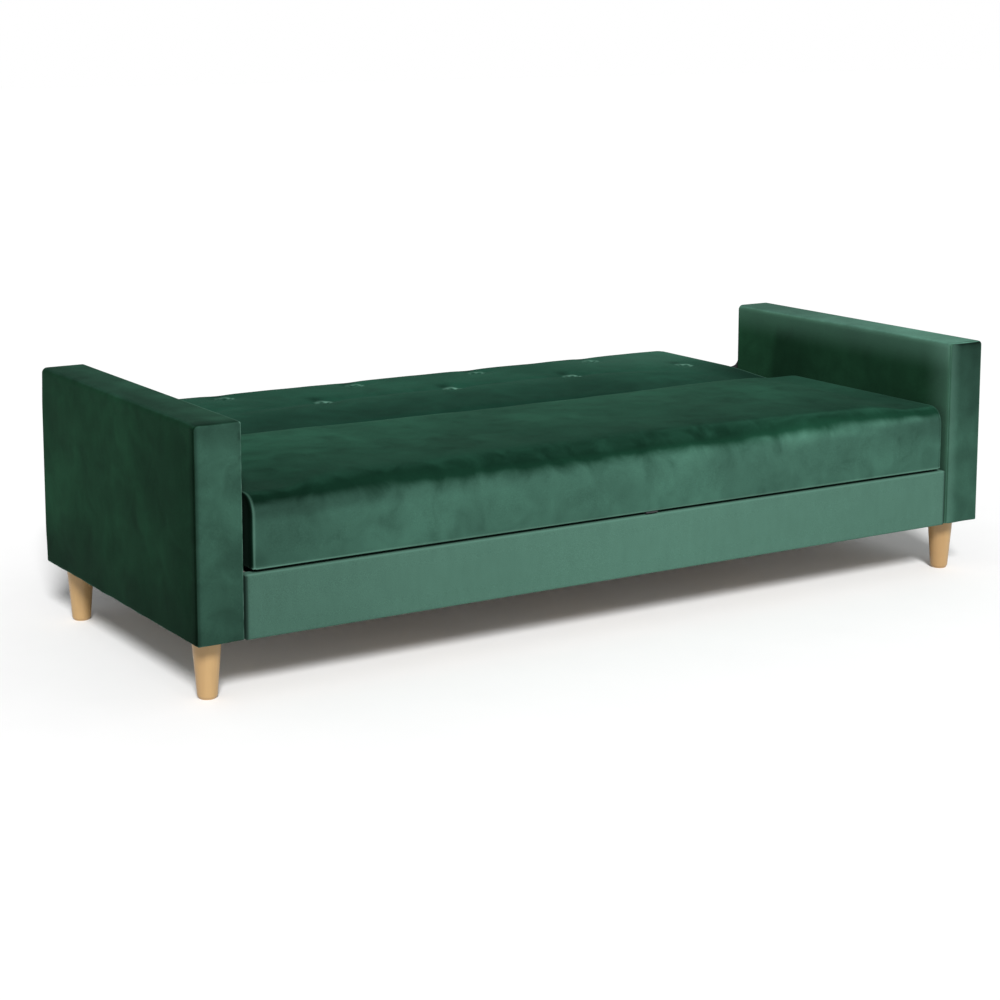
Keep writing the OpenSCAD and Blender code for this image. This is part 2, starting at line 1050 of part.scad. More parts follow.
// Notched disc and strap of the back; one notch for each position of the back
module back_arm(side) {
    low = back_strap_z;
    high = back_strap_z + strap_w;
    color(steel)
        from_front()
            on_side(side)
                difference() {
                    along_x(moving_x, moving_x + plate_t)
                        difference() {
                            union() {
                                rounded_rect(
                                    [back_strap_ys[0], low],
                                    [back_strap_ys[1], high],
                                    [crisp_r, strap_end_r, strap_end_r, crisp_r]
                                );
                                translate(back_pivot)
                                    circle(r = notch_radius);
                            }
                            for (turn = [0, back_lounge_angle, back_up_angle])
                                translate(back_pivot + polar(notch_radius, notch_angle - turn))
                                    circle(r = notch_r);
                        }
                    rod_x(
                        moving_x - eps,
                        moving_x + plate_t + eps,
                        back_pivot,
                        rivet_r + running_clearance
                    );
                    for (y = back_screw_ys)
                        rod_x(
                            moving_x - eps,
                            moving_x + plate_t + eps,
                            [y, back_screw_z],
                            screw_d / 2
                        );
                }
}

module back_arm_pads() {
    strap_pads(back_screw_ys, back_screw_z);
}

module back_screws() {
    strap_screws(back_screw_ys, back_screw_z);
}

// Cord of each tuft, with a toggle under the webbing and a button under the cover
module tuft_ties() {
    web_z = back_frame_z + rail_h;
    color(black_cloth)
        from_front()
            at_each_tuft() {
                translate([0, 0, web_z - tie_button_t])
                    cylinder(h = tie_button_t, r = tie_button_r);
                translate([0, 0, web_z])
                    cylinder(h = tie_button_z - web_z, r = tie_r);
                translate([0, 0, tie_button_z])
                    cylinder(h = tie_button_t, r = tie_button_r);
            }
}

/* Pawls */

// Pawl lifted clear of the disc, with a weighted tail that holds it there
module pawl(side) {
    nose = pawl_pivot + polar(pawl_length, pawl_rest_angle);
    tail = pawl_pivot - [pawl_tail, 0];
    color(steel)
        from_front()
            on_side(side)
                difference() {
                    along_x(moving_x, moving_x + plate_t) {
                        bar(pawl_pivot, nose, 2 * pawl_nose_r);
                        bar(pawl_pivot, (pawl_pivot + nose) / 2, pawl_bar_w);
                        bar(pawl_pivot, tail, pawl_tail_w);
                        translate(pawl_pivot)
                            circle(r = pawl_boss_r);
                    }
                    rod_x(
                        moving_x - eps,
                        moving_x + plate_t + eps,
                        pawl_pivot,
                        rivet_r + running_clearance
                    );
                }
}

arm_frame(-1);  // arm_frame_left
arm_frame(1);  // arm_frame_right
arm_panels(-1);  // arm_panels_left
arm_panels(1);  // arm_panels_right
arm_cover(-1);  // arm_cover_left
arm_cover(1);  // arm_cover_right
arm_base_cloth(-1);  // arm_base_cloth_left
arm_base_cloth(1);  // arm_base_cloth_right
leg(-1, leg_ys[0]);  // leg_front_left
leg(1, leg_ys[0]);  // leg_front_right
leg(-1, leg_ys[1]);  // leg_rear_left
leg(1, leg_ys[1]);  // leg_rear_right
leg_bolts();
leg_nut_plates();
box_front_board();
box_rear_board();
box_side(-1);  // box_side_left
box_side(1);  // box_side_right
box_floor();
floor_ledgers();
cross_battens();
front_panel_cover();
rear_panel_cover();
arm_fixing_bolts();
arm_spacers();
rest_buffers();
hinge_base(-1);  // hinge_base_left
hinge_base(1);  // hinge_base_right
bracket_bolts();
pivot_rivets();
hinge_washers();
stop_pins();
hinge_guard(-1);  // hinge_guard_left
hinge_guard(1);  // hinge_guard_right
seat_frame();
seat_webbing();
seat_foam();
seat_cover();
seat_base_cloth();
seat_arm(-1);  // seat_arm_left
seat_arm(1);  // seat_arm_right
seat_arm_pads();
seat_screws();
seat_pull_tab();
back_frame();
back_webbing();
back_foam();
back_cover();
back_base_cloth();
back_arm(-1);  // back_arm_left
back_arm(1);  // back_arm_right
back_arm_pads();
back_screws();
tuft_ties();
pawl(-1);  // pawl_left
pawl(1);  // pawl_right
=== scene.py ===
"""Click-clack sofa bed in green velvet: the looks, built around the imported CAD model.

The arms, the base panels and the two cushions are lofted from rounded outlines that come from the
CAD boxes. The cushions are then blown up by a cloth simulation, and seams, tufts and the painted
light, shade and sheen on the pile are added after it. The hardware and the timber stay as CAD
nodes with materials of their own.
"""
import json
import math

import bmesh
import bpy
import numpy as np
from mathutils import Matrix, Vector, noise


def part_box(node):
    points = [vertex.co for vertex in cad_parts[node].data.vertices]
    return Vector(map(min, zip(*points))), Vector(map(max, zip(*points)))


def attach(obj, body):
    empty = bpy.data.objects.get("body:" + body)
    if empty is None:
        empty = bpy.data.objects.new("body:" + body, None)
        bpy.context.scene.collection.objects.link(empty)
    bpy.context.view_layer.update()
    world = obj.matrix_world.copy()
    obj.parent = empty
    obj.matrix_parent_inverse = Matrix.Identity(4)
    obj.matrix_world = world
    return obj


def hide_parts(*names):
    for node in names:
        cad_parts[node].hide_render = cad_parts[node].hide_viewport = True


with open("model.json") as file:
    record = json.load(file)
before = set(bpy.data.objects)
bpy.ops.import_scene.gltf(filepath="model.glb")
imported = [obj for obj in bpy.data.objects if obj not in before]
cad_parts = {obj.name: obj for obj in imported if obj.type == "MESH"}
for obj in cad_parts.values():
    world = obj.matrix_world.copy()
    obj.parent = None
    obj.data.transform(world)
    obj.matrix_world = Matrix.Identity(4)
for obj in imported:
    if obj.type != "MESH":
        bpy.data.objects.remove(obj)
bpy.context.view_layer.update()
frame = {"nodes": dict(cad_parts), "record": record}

MM = 0.001
TINY = 1e-9
SCENE = bpy.context.scene
NODES = frame["nodes"]

# pile colours, linear: lit and shaded copies of the velvet for faces turned forward and sideways
# (painted light and shade by facing), and a pale colour for painted sheen
PAINTED_SHEEN_COLOUR = (0.15, 0.31, 0.24)
ARM_FRONT_LIT = (0.028, 0.075, 0.053)
ARM_SIDE_SHADED = (0.0098, 0.0415, 0.0200)
PANEL = (0.056, 0.126, 0.095)

# slopes where a face begins to count as turned to an axis, and where it counts in full
TURNED = (0.6, 0.95)

# edge profiles: (distance in from the end, inset) in millimetres
ARM_FRONT_EDGE = [(0, 4.6), (0.3, 2.6), (1.2, 1.1), (2.8, 0.4), (6, 0.1), (10, 0)]
ARM_FRONT_WELT = [
    (0, 4.0), (0.3, 2.2), (1.2, 0.9), (2.8, 0.4), (4.2, 0.8), (5.6, 3.0), (7.0, 0.6), (10, 0)
]
ARM_REAR_EDGE = [(0, 3.2), (0.5, 1.4), (1.6, 0.4), (4, 0.1), (8, 0)]
FRONT_PANEL_EDGE = [(0, 2.4), (0.4, 1.2), (1.4, 0.4), (3, 0), (8, 0)]
REAR_PANEL_EDGE = [(0, 0.7), (0.4, 0.2), (1.5, 0)]
CUSHION_EDGE = [(0, 6.5), (0.5, 4.0), (1.8, 1.8), (3.8, 0.7), (6.0, 0.4), (8.5, 0.2), (13, 0)]

# mesh making: smallest corner radius, size of a cap's last ring, and distance for welding it
LEAST_RADIUS = 0.15 * MM
CAP_MIDDLE = 0.3 * MM
WELD_DISTANCE = 0.8 * MM

ARM_GROOVE_DEPTH = 5.6 * MM
ARM_EDGE_ROUNDING = 16 * MM
CUSHION_WELT = 3.5 * MM
CUSHION_SEAM = 7.5 * MM
CUSHION_SEAM_SINK = 1.4 * MM
CLOTH_FRAMES = 20

# tufts: number and pitch in a row, the two rows' distances from the rear edge, radius of the ring
# round a tuft where the fold and the painted highlight lie
TUFTS_IN_ROW = 5
TUFT_PITCH = 362 * MM
TUFT_ROWS = (245 * MM, 65 * MM)
TUFT_RING = 20 * MM


# ---------------------------------------------------------------- camera, light and floor

def make_camera():
    """Camera at the front left, above the arms, tilted down a little, with its lens lowered."""
    camera = bpy.data.objects.new("camera", bpy.data.cameras.new("camera"))
    camera.data.lens = 79.1
    camera.data.sensor_width = 36
    camera.data.shift_x = 0.0195
    camera.data.shift_y = -0.152
    camera.data.clip_end = 100
    camera.location = (-2.7093, -4.3229, 1.3451)
    tilt, turn = 8.86, -31.81
    camera.rotation_euler = (math.radians(90 - tilt), 0, math.radians(turn))
    SCENE.collection.objects.link(camera)
    SCENE.camera = camera


def key_light(elevation, turn, spread, power):
    """Soft sun from in front of the sofa; a negative turn puts it to the left.

    The angles are in degrees.
    """
    light = bpy.data.lights.new("key", "SUN")
    light.energy = power
    light.angle = math.radians(spread)
    lamp = bpy.data.objects.new("key", light)
    lamp.rotation_euler = (math.radians(90 - elevation), 0, math.radians(turn))
    SCENE.collection.objects.link(lamp)


def make_studio():
    """White floor and sky, and one very large soft light in front."""
    SCENE.view_settings.view_transform = "Standard"
    world = bpy.data.worlds.new("studio")
    SCENE.world = world
    world.use_nodes = True
    tree = world.node_tree
    sky = tree.nodes["Background"]
    sky.inputs["Color"].default_value = (1, 1, 1, 1)
    sky.inputs["Strength"].default_value = 0.45
    seen = tree.nodes.new("ShaderNodeBackground")
    seen.inputs["Color"].default_value = (1, 1, 1, 1)
    seen.inputs["Strength"].default_value = 1.0
    path = tree.nodes.new("ShaderNodeLightPath")
    mix = tree.nodes.new("ShaderNodeMixShader")
    tree.links.new(path.outputs["Is Camera Ray"], mix.inputs[0])
    tree.links.new(sky.outputs[0], mix.inputs[1])
    tree.links.new(seen.outputs[0], mix.inputs[2])
    tree.links.new(mix.outputs[0], tree.nodes["World Output"].inputs[0])
    key_light(elevation=37.5, turn=-25, spread=14, power=3.65)
    bpy.ops.mesh.primitive_grid_add(x_subdivisions=8, y_subdivisions=8, size=60)
    floor = bpy.context.object
    floor.name = "floor"
    floor.data.materials.append(plain("floor", (0.93, 0.93, 0.93), 0.9, 0.0))


# ---------------------------------------------------------------- materials

def new_material(name):
    """Material with an empty Principled shader; returns it, its tree and the shader."""
    material = bpy.data.materials.new(name)
    material.use_nodes = True
    tree = material.node_tree
    return material, tree, tree.nodes["Principled BSDF"]


def add_node(tree, kind, **inputs):
    """Node of a kind, with its named inputs set or linked."""
    node = tree.nodes.new("ShaderNode" + kind)
    for name, value in inputs.items():
        socket = node.inputs[name.replace("_", " ")]
        if isinstance(value, bpy.types.NodeSocket):
            tree.links.new(value, socket)
        else:
            socket.default_value = value
    return node


def math_node(tree, operation, a, b):
    """Result of a Math node on two numbers or sockets."""
    node = tree.nodes.new("ShaderNodeMath")
    node.operation = operation
    for socket, value in zip(node.inputs, (a, b)):
        if isinstance(value, bpy.types.NodeSocket):
            tree.links.new(value, socket)
        else:
            socket.default_value = value
    return node.outputs[0]


def mix_colour(tree, factor, a, b, blend="MIX"):
    """Mix of two colours or sockets."""
    node = tree.nodes.new("ShaderNodeMix")
    node.data_type = "RGBA"
    node.blend_type = blend
    for index, value in ((0, factor), (6, a), (7, b)):
        if isinstance(value, bpy.types.NodeSocket):
            tree.links.new(value, node.inputs[index])
        elif index:
            node.inputs[index].default_value = (*value[:3], 1)
        else:
            node.inputs[index].default_value = value
    return node.outputs[2]


def ramp(tree, factor, low, high):
    """0 below low, 1 above high, smooth between."""
    node = tree.nodes.new("ShaderNodeMapRange")
    node.interpolation_type = "SMOOTHSTEP"
    tree.links.new(factor, node.inputs["Value"])
    node.inputs["From Min"].default_value = low
    node.inputs["From Max"].default_value = high
    return node.outputs["Result"]


def noise_at(tree, vector, scale, detail=2.0, stretch=(1, 1, 1), distortion=0.0):
    """Noise value in 0 to 1 at an object-space vector, stretched along its axes."""
    moved = add_node(tree, "Mapping", Vector=vector, Scale=stretch)
    node = add_node(
        tree, "TexNoise", Vector=moved.outputs[0], Scale=scale, Detail=detail,
        Distortion=distortion
    )
    return node.outputs["Fac"]


def bump(tree, shader, height, strength, distance):
    """Adds a bump to a shader's normal."""
    node = add_node(tree, "Bump", Height=height, Strength=strength, Distance=distance)
    tree.links.new(node.outputs[0], shader.inputs["Normal"])


def plain(name, colour, roughness, metallic):
    """Surface of one colour, broken up by a faint cloudiness."""
    material, tree, shader = new_material(name)
    place = add_node(tree, "TexCoord").outputs["Object"]
    cloud = noise_at(tree, place, 6, 4)
    shade = [c * 0.97 for c in colour]
    tree.links.new(mix_colour(tree, cloud, shade, colour), shader.inputs["Base Color"])
    shader.inputs["Roughness"].default_value = roughness
    shader.inputs["Metallic"].default_value = metallic
    return material


def velvet(name, front, top, side, edges=(0.6, 0.95, 0.6, 0.95), wander=0.1, mottle=0.2):
    """Velvet with painted light and shade: each face takes a lit or a shaded copy of the pile
    colour, by the way it turns.

    front, top and side are the pile's colours on faces that look forward, up and elsewhere.
    edges are the slopes where front and top begin and are full, and wander is how far the hand
    marks shift them. One mesh attribute darkens or lightens the pile with painted light and shade,
    and on the right arm with random wear as well; another mixes in a paler colour as a painted
    sheen over seams, edges and folds.
    """
    material, tree, shader = new_material(name)
    texture = add_node(tree, "TexCoord")
    place = texture.outputs["Object"]
    facing = add_node(tree, "SeparateXYZ", Vector=texture.outputs["Normal"])
    patches = ramp(tree, noise_at(tree, place, 3.1, 3, distortion=0.8), 0.33, 0.67)
    marks = noise_at(tree, place, 15, 7, distortion=0.6)
    streaks = noise_at(tree, place, 60, 3, stretch=(1.0, 1.0, 0.25))
    pile = noise_at(tree, place, 900, 2)
    shift = weighted(tree, marks, wander * 2, -wander)
    # painted light and shade: the way a face turns picks a lit or a shaded copy of the pile colour
    forward = math_node(tree, "MULTIPLY", facing.outputs["Y"], -1)
    forward = ramp(tree, math_node(tree, "ADD", forward, shift), edges[0], edges[1])
    upward = math_node(tree, "ADD", facing.outputs["Z"], shift)
    upward = ramp(tree, upward, edges[2], edges[3])
    colour = mix_colour(tree, upward, side, top)
    colour = mix_colour(tree, forward, colour, front)
    shade = weighted(tree, patches, mottle, 1 - mottle / 2)
    for value, amount in ((marks, mottle * 1.3), (streaks, 0.07), (pile, 0.5)):
        part = weighted(tree, value, amount * 2, 1 - amount)
        shade = math_node(tree, "MULTIPLY", shade, part)
    # painted light and shade: the mesh attribute darkens or lightens the pile
    shade = math_node(tree, "MULTIPLY", shade, attribute(tree, "painted_light_and_wear"))
    grey = add_node(tree, "CombineColor", Red=shade, Green=shade, Blue=shade).outputs[0]
    colour = mix_colour(tree, 1.0, colour, grey, "MULTIPLY")
    # painted sheen: mixes in the pale colour where the mesh attribute says
    colour = mix_colour(tree, attribute(tree, "painted_sheen"), colour, PAINTED_SHEEN_COLOUR)
    tree.links.new(colour, shader.inputs["Base Color"])
    shader.inputs["Roughness"].default_value = 0.9
    shader.inputs["Specular IOR Level"].default_value = 0.02
    shader.inputs["Sheen Weight"].default_value = 0.08
    shader.inputs["Sheen Roughness"].default_value = 0.3
    shader.inputs["Sheen Tint"].default_value = (0.40, 0.80, 0.60, 1)
    height = math_node(tree, "ADD", math_node(tree, "MULTIPLY", marks, 2.0), pile)
    bump(tree, shader, height, 0.35, 0.0006)
    return material


def weighted(tree, value, amount, base):
    """base + amount * value."""
    node = math_node(tree, "MULTIPLY_ADD", value, amount)
    node.node.inputs[2].default_value = base
    return node


def attribute(tree, name):
    """Value of a mesh attribute."""
    node = tree.nodes.new("ShaderNodeAttribute")
    node.attribute_name = name
    return node.outputs["Fac"]


def wood(name, light, dark, grain, roughness):
    """Wood with grain that runs along the axis where grain is small."""
    material, tree, shader = new_material(name)
    place = add_node(tree, "TexCoord").outputs["Object"]
    rings = noise_at(tree, place, 14, 5, stretch=grain, distortion=0.6)
    fibre = noise_at(tree, place, 160, 3, stretch=grain)
    colour = mix_colour(tree, ramp(tree, rings, 0.35, 0.7), light, dark)
    colour = mix_colour(tree, weighted(tree, fibre, 0.4, 0.0), colour, [c * 0.82 for c in dark])
    tree.links.new(colour, shader.inputs["Base Color"])
    shader.inputs["Roughness"].default_value = roughness
    bump(tree, shader, fibre, 0.12, 0.0004)
    return material


def chipboard(name):
    """Pressed board, speckled with chips of several browns."""
    material, tree, shader = new_material(name)
    place = add_node(tree, "TexCoord").outputs["Object"]
    cells = add_node(tree, "TexVoronoi", Vector=place, Scale=260.0)
    chips = add_node(tree, "SeparateColor", Color=cells.outputs["Color"])
    colour = mix_colour(tree, chips.outputs[0], (0.20, 0.19, 0.175), (0.34, 0.325, 0.30))
    tree.links.new(colour, shader.inputs["Base Color"])
    shader.inputs["Roughness"].default_value = 0.8
    bump(tree, shader, chips.outputs[1], 0.2, 0.0005)
    return material


def metal(name, colour, roughness, metallic, wear):
    """Metal or paint with fine scratches and dull patches."""
    material, tree, shader = new_material(name)
    place = add_node(tree, "TexCoord").outputs["Object"]
    patches = noise_at(tree, place, 35, 5)
    scratches = noise_at(tree, place, 300, 2, stretch=(1, 0.08, 1))
    worn = [min(1, c * (1 + wear)) for c in colour]
    tree.links.new(
        mix_colour(tree, ramp(tree, patches, 0.45, 0.7), colour, worn),
        shader.inputs["Base Color"]
    )
    rough = weighted(tree, patches, 0.25, roughness - 0.12)
    tree.links.new(rough, shader.inputs["Roughness"])
    shader.inputs["Metallic"].default_value = metallic
    bump(tree, shader, scratches, 0.08, 0.0002)
    return material


def woven(name, colour, scale):
    """Woven or felted cloth: crossed threads in object space."""
    material, tree, shader = new_material(name)
    place = add_node(tree, "TexCoord").outputs["Object"]
    heights = []
    for axis in ((1, 0.03, 0.03), (0.03, 1, 0.03)):
        heights.append(noise_at(tree, place, scale, 1, stretch=axis))
    threads = math_node(tree, "MULTIPLY", heights[0], heights[1])
    fuzz = noise_at(tree, place, 40, 4)
    share = math_node(tree, "MULTIPLY", math_node(tree, "ADD", threads, fuzz), 0.7)
    colour_out = mix_colour(tree, share, [c * 0.45 for c in colour], [c * 1.7 for c in colour])
    tree.links.new(colour_out, shader.inputs["Base Color"])
    shader.inputs["Roughness"].default_value = 0.9
    shader.inputs["Specular IOR Level"].default_value = 0.2
    bump(tree, shader, threads, 0.5, 0.0005)
    return material


# ---------------------------------------------------------------- meshes

def rounded_outline(low, high, radii, inset, counts):
    """Points of a rectangle with rounded corners, drawn in by an inset.

    radii run anticlockwise from the lower left corner. counts are the steps along a level side,
    along an upright side and round a corner, so every inset has the same number of points.
    """
    low = np.array(low) + inset
    high = np.array(high) - inset
    corners = [(low[0], low[1]), (high[0], low[1]), (high[0], high[1]), (low[0], high[1])]
    inward = [(1, 1), (-1, 1), (-1, -1), (1, -1)]
    level, upright, turn = counts
    points = []
    for index in range(4):
        r = max(radii[index] - inset, LEAST_RADIUS)
        centre = np.array(corners[index]) + np.array(inward[index]) * r
        start = math.pi + index * math.pi / 2
        arc = [
            centre + r * np.array((math.cos(a), math.sin(a)))
            for a in np.linspace(start, start + math.pi / 2, turn + 1)
        ]
        if points:
            points += side_points(points[-1], arc[0], upright if index % 2 == 0 else level)
        points += arc
    points += side_points(points[-1], points[0], upright)
    return np.array(points)


def side_points(a, b, count):
    """Points strictly between a and b, count steps apart."""
    return [a + (b - a) * k / count for k in range(1, count)]


def loft(name, axis, span, outline, ends, step, cap_steps):
    """Closed form swept along an axis, with an edge profile and a flat cap at each end.

    span is the length's two ends. outline(inset) gives its cross-section. ends has one profile
    for each end: (distance in from the end, inset) pairs from the cap's edge inwards. step is the
    length of a cell along the axis, and cap_steps are the rings of cells across each cap.
    """
    near, far = ([(d * MM, i * MM) for d, i in profile] for profile in ends)
    body_near, body_far = span[0] + near[-1][0], span[1] - far[-1][0]
    count = max(2, round((body_far - body_near) / step))
    rings = [(span[0] + d, i) for d, i in near]
    rings += [(x, 0.0) for x in np.linspace(body_near, body_far, count + 1)[1:-1]]
    rings += [(span[1] - d, i) for d, i in reversed(far)]
    flat = outline(0.0)
    middle = (flat.max(0) - flat.min(0)).min() / 2
    caps = [
        [(place, i) for i in np.linspace(middle - CAP_MIDDLE, edge, cap_steps + 1)[:-1]]
        for place, edge in ((span[0], near[0][1]), (span[1], far[0][1]))
    ]
    stack = caps[0] + rings + caps[1][::-1]
    shape = bmesh.new()
    loops = []
    for place, inset in stack:
        loop = []
        for a, b in outline(inset):
            co = (place, a, b) if axis == "X" else (a, place, b)
            loop.append(shape.verts.new(co))
        loops.append(loop)
    size = len(loops[0])
    for one, two in zip(loops, loops[1:]):
        for k in range(size):
            after = (k + 1) % size
            shape.faces.new((one[k], one[after], two[after], two[k]))
    for loop in (loops[0], loops[-1]):
        bmesh.ops.remove_doubles(shape, verts=loop, dist=WELD_DISTANCE)
    for loop in (loops[0], loops[-1]):
        rest = [v for v in loop if v.is_valid]
        edges = list({e for v in rest for e in v.link_edges if e.is_boundary})
        if edges:
            bmesh.ops.holes_fill(shape, edges=edges, sides=0)
    bmesh.ops.recalc_face_normals(shape, faces=shape.faces)
    mesh = bpy.data.meshes.new(name)
    shape.to_mesh(mesh)
    shape.free()
    return new_piece(name, mesh)


def new_piece(name, mesh):
    """Object for a mesh, in the scene."""
    piece = bpy.data.objects.new(name, mesh)
    SCENE.collection.objects.link(piece)
    return piece


def grid_piece(name, points, across):
    """Open sheet through rows of points, with across cells in a row."""
    faces = []
    for j in range(len(points) // (across + 1) - 1):
        for i in range(across):
            a = j * (across + 1) + i
            faces.append((a, a + 1, a + across + 2, a + across + 1))
    mesh = bpy.data.meshes.new(name)
    mesh.from_pydata(points, [], faces)
    return new_piece(name, mesh)


def thicken(piece, thickness):
    """Gives an open sheet its thickness, half of it to each side."""
    skin = piece.modifiers.new("skin", "SOLIDIFY")
    skin.thickness = thickness
    skin.offset = 0
    apply_modifiers(piece)


def coordinates(piece):
    """Vertex places of a piece as an array."""
    co = np.empty(len(piece.data.vertices) * 3)
    piece.data.vertices.foreach_get("co", co)
    return co.reshape(-1, 3)


def normals(piece):
    """Vertex normals of a piece as an array."""
    out = np.empty(len(piece.data.vertices) * 3)
    piece.data.vertices.foreach_get("normal", out)
    return out.reshape(-1, 3)


def set_coordinates(piece, co):
    """Moves a piece's vertices."""
    piece.data.vertices.foreach_set("co", co.reshape(-1))
    piece.data.update()


def end_distance(co, low, high):
    """Distance from each point to the nearer end of a box along X."""
    return np.minimum(co[:, 0] - low.x, high.x - co[:, 0])


def edge_distance(co, low, high):
    """Distance in plan from each point to the nearest edge of a box."""
    across = np.minimum(co[:, 1] - low.y, high.y - co[:, 1])
    return np.minimum(end_distance(co, low, high), across)


def smoothstep(value, low, high):
    """0 below low, 1 above high, smooth between."""
    t = np.clip((value - low) / (high - low), 0, 1)
    return t * t * (3 - 2 * t)


def bell(value, width):
    """1 at 0, falling to 0 at the width on both sides."""
    return 1 - smoothstep(np.abs(value), 0, width)


def ripples(co, scale, seed):
    """Smooth noise between -1 and 1 at each point."""
    shift = Vector((seed * 7.3, seed * 3.1, seed * 5.7))
    return np.array([noise.noise(Vector(p) * scale + shift) for p in co])


def mark_pile(piece, painted_sheen, painted_light_and_wear):
    """Writes the two attributes that the velvet reads: painted sheen, and painted light and shade.
    """
    count = len(piece.data.vertices)
    for name, values in (("painted_sheen", np.clip(painted_sheen, 0, 1)), ("painted_light_and_wear", painted_light_and_wear)):
        layer = piece.data.attributes.new(name, "FLOAT", "POINT")
        layer.data.foreach_set("value", (values * np.ones(count)).astype(np.float32))


def apply_modifiers(piece):
    """Replaces a piece's mesh by what its modifiers make of it."""
    graph = bpy.context.evaluated_depsgraph_get()
    graph.update()
    made = bpy.data.meshes.new_from_object(piece.evaluated_get(graph))
    piece.modifiers.clear()
    piece.data = made


def subdivide(piece):
    """Smooths a piece with one level of subdivision, applied."""
    modifier = piece.modifiers.new("smooth", "SUBSURF")
    modifier.levels = modifier.render_levels = 1
    modifier.boundary_smooth = "PRESERVE_CORNERS"
    apply_modifiers(piece)


def finish_piece(piece, material, body, slot, *nodes):
    """Material and smooth shading for a piece, its body, and the nodes it replaces, which are
    hidden. slot is not used.
    """
    piece.data.materials.clear()
    piece.data.materials.append(material)
    piece.data.shade_smooth()
    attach(piece, body)
    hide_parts(*nodes)


def inflate(piece, held, pressure, cap):
    """Blows a closed form up as cloth.

    held is 1 where the cloth is fixed and 0 where it is free. No point ends further than cap from
    where it began.
    """
    before = coordinates(piece)
    group = piece.vertex_groups.new(name="held")
    for index in np.nonzero(held > 0.01)[0]:
        group.add([int(index)], float(held[index]), "REPLACE")
    cloth = piece.modifiers.new("cloth", "CLOTH")
    settings = cloth.settings
    settings.quality = 5
    settings.mass = 0.3
    settings.tension_stiffness = settings.compression_stiffness = 18
    settings.shear_stiffness = 8
    settings.bending_stiffness = 2.5
    settings.use_pressure = True
    settings.uniform_pressure_force = pressure
    settings.vertex_group_mass = "held"
    settings.effector_weights.gravity = 0
    cloth.collision_settings.use_collision = False
    cloth.collision_settings.use_self_collision = False
    cloth.point_cache.frame_start = 1
    cloth.point_cache.frame_end = CLOTH_FRAMES
    for number in range(1, CLOTH_FRAMES + 1):
        SCENE.frame_set(number)
    apply_modifiers(piece)
    SCENE.frame_set(1)
    piece.vertex_groups.clear()
    moved = coordinates(piece) - before
    length = np.linalg.norm(moved, axis=1)
    limited = cap * np.tanh(length / cap)
    moved *= (limited / np.maximum(length, TINY))[:, None]
    set_coordinates(piece, before + moved)


# ---------------------------------------------------------------- arms

def round_upright(co, edge_x, inward, front_y, r):
    """Rounds the upright edge between a side and the front, moving the points near it."""
    u = np.clip(r - (co[:, 0] - edge_x) * inward, 0, r)
    v = np.clip(r - (co[:, 1] - front_y), 0, r)
    share = np.maximum(u, v) / np.maximum(np.hypot(u, v), TINY)
    near = u * v > 0
    co[near, 0] = (edge_x + inward * (r - u * share))[near]
    co[near, 1] = (front_y + r - v * share)[near]


def make_arm(side, material):
    """Upholstered slab arm with a boxed front panel, sewn in along its sharp edges."""
    low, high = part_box("arm_cover_" + side)
    right = side == "right"
    outward = 1 if right else -1
    inner_x, outer_x = (low.x, high.x) if right else (high.x, low.x)
    radii = [3 * MM, 3 * MM, 10 * MM, 13 * MM] if right else [3 * MM, 3 * MM, 6 * MM, 12 * MM]

    def outline(inset):
        return rounded_outline((low.x, low.z), (high.x, high.z), radii, inset, (9, 40, 7))

    ends = (ARM_FRONT_EDGE if right else ARM_FRONT_WELT, ARM_REAR_EDGE)
    arm = loft("arm_" + side, "Y", (low.y, high.y), outline, ends, 11 * MM, 5)
    co, normal = coordinates(arm), normals(arm)
    depth, height, from_top = co[:, 1] - low.y, co[:, 2] - low.z, high.z - co[:, 2]
    across = end_distance(co, low, high)
    from_ends = np.minimum(depth, high.y - co[:, 1])
    outer = smoothstep(normal[:, 0] * outward, *TURNED)
    inner = smoothstep(-normal[:, 0] * outward, *TURNED)
    broad = smoothstep(np.minimum.reduce([height, from_top, depth]), 0, 90 * MM)
    wave = ripples(co, 9, 3 + outward)
    tight = smoothstep(from_ends, 2 * MM, 20 * MM)
    tucks = np.sin(height / (19 * MM) * 2 * math.pi + 2.5 * ripples(co, 12, 8))
    tucks *= bell(depth - 9 * MM, 22 * MM) * 0.5 * MM * (depth > 6.5 * MM)
    face = smoothstep(-normal[:, 1], 0.8, 0.98) * smoothstep(across, 0, 35 * MM)
    hem = bell(height, 14 * MM) * ripples(co, 16, 12 + outward)
    shift = outer * (2.0 * MM * broad + 0.9 * MM * wave * tight)
    shift += inner * (0.6 * MM * wave - 0.7 * MM) * tight
    shift += face * (2.2 * MM + 1.0 * MM * wave)
    shift += tucks * (1 - inner * 0.5)
    co += normal * shift[:, None]
    co[:, 2] += hem * 2.0 * MM
    if right:
        round_upright(co, inner_x, outward, low.y, ARM_EDGE_ROUNDING)
    set_coordinates(arm, co)
    subdivide(arm)
    painted_sheen, painted_light_and_wear = arm_marks(coordinates(arm), normals(arm), low, high, inner_x, outer_x, right)
    mark_pile(arm, painted_sheen, painted_light_and_wear)
    finish_piece(arm, material, "base", "velvet", "arm_cover_" + side)


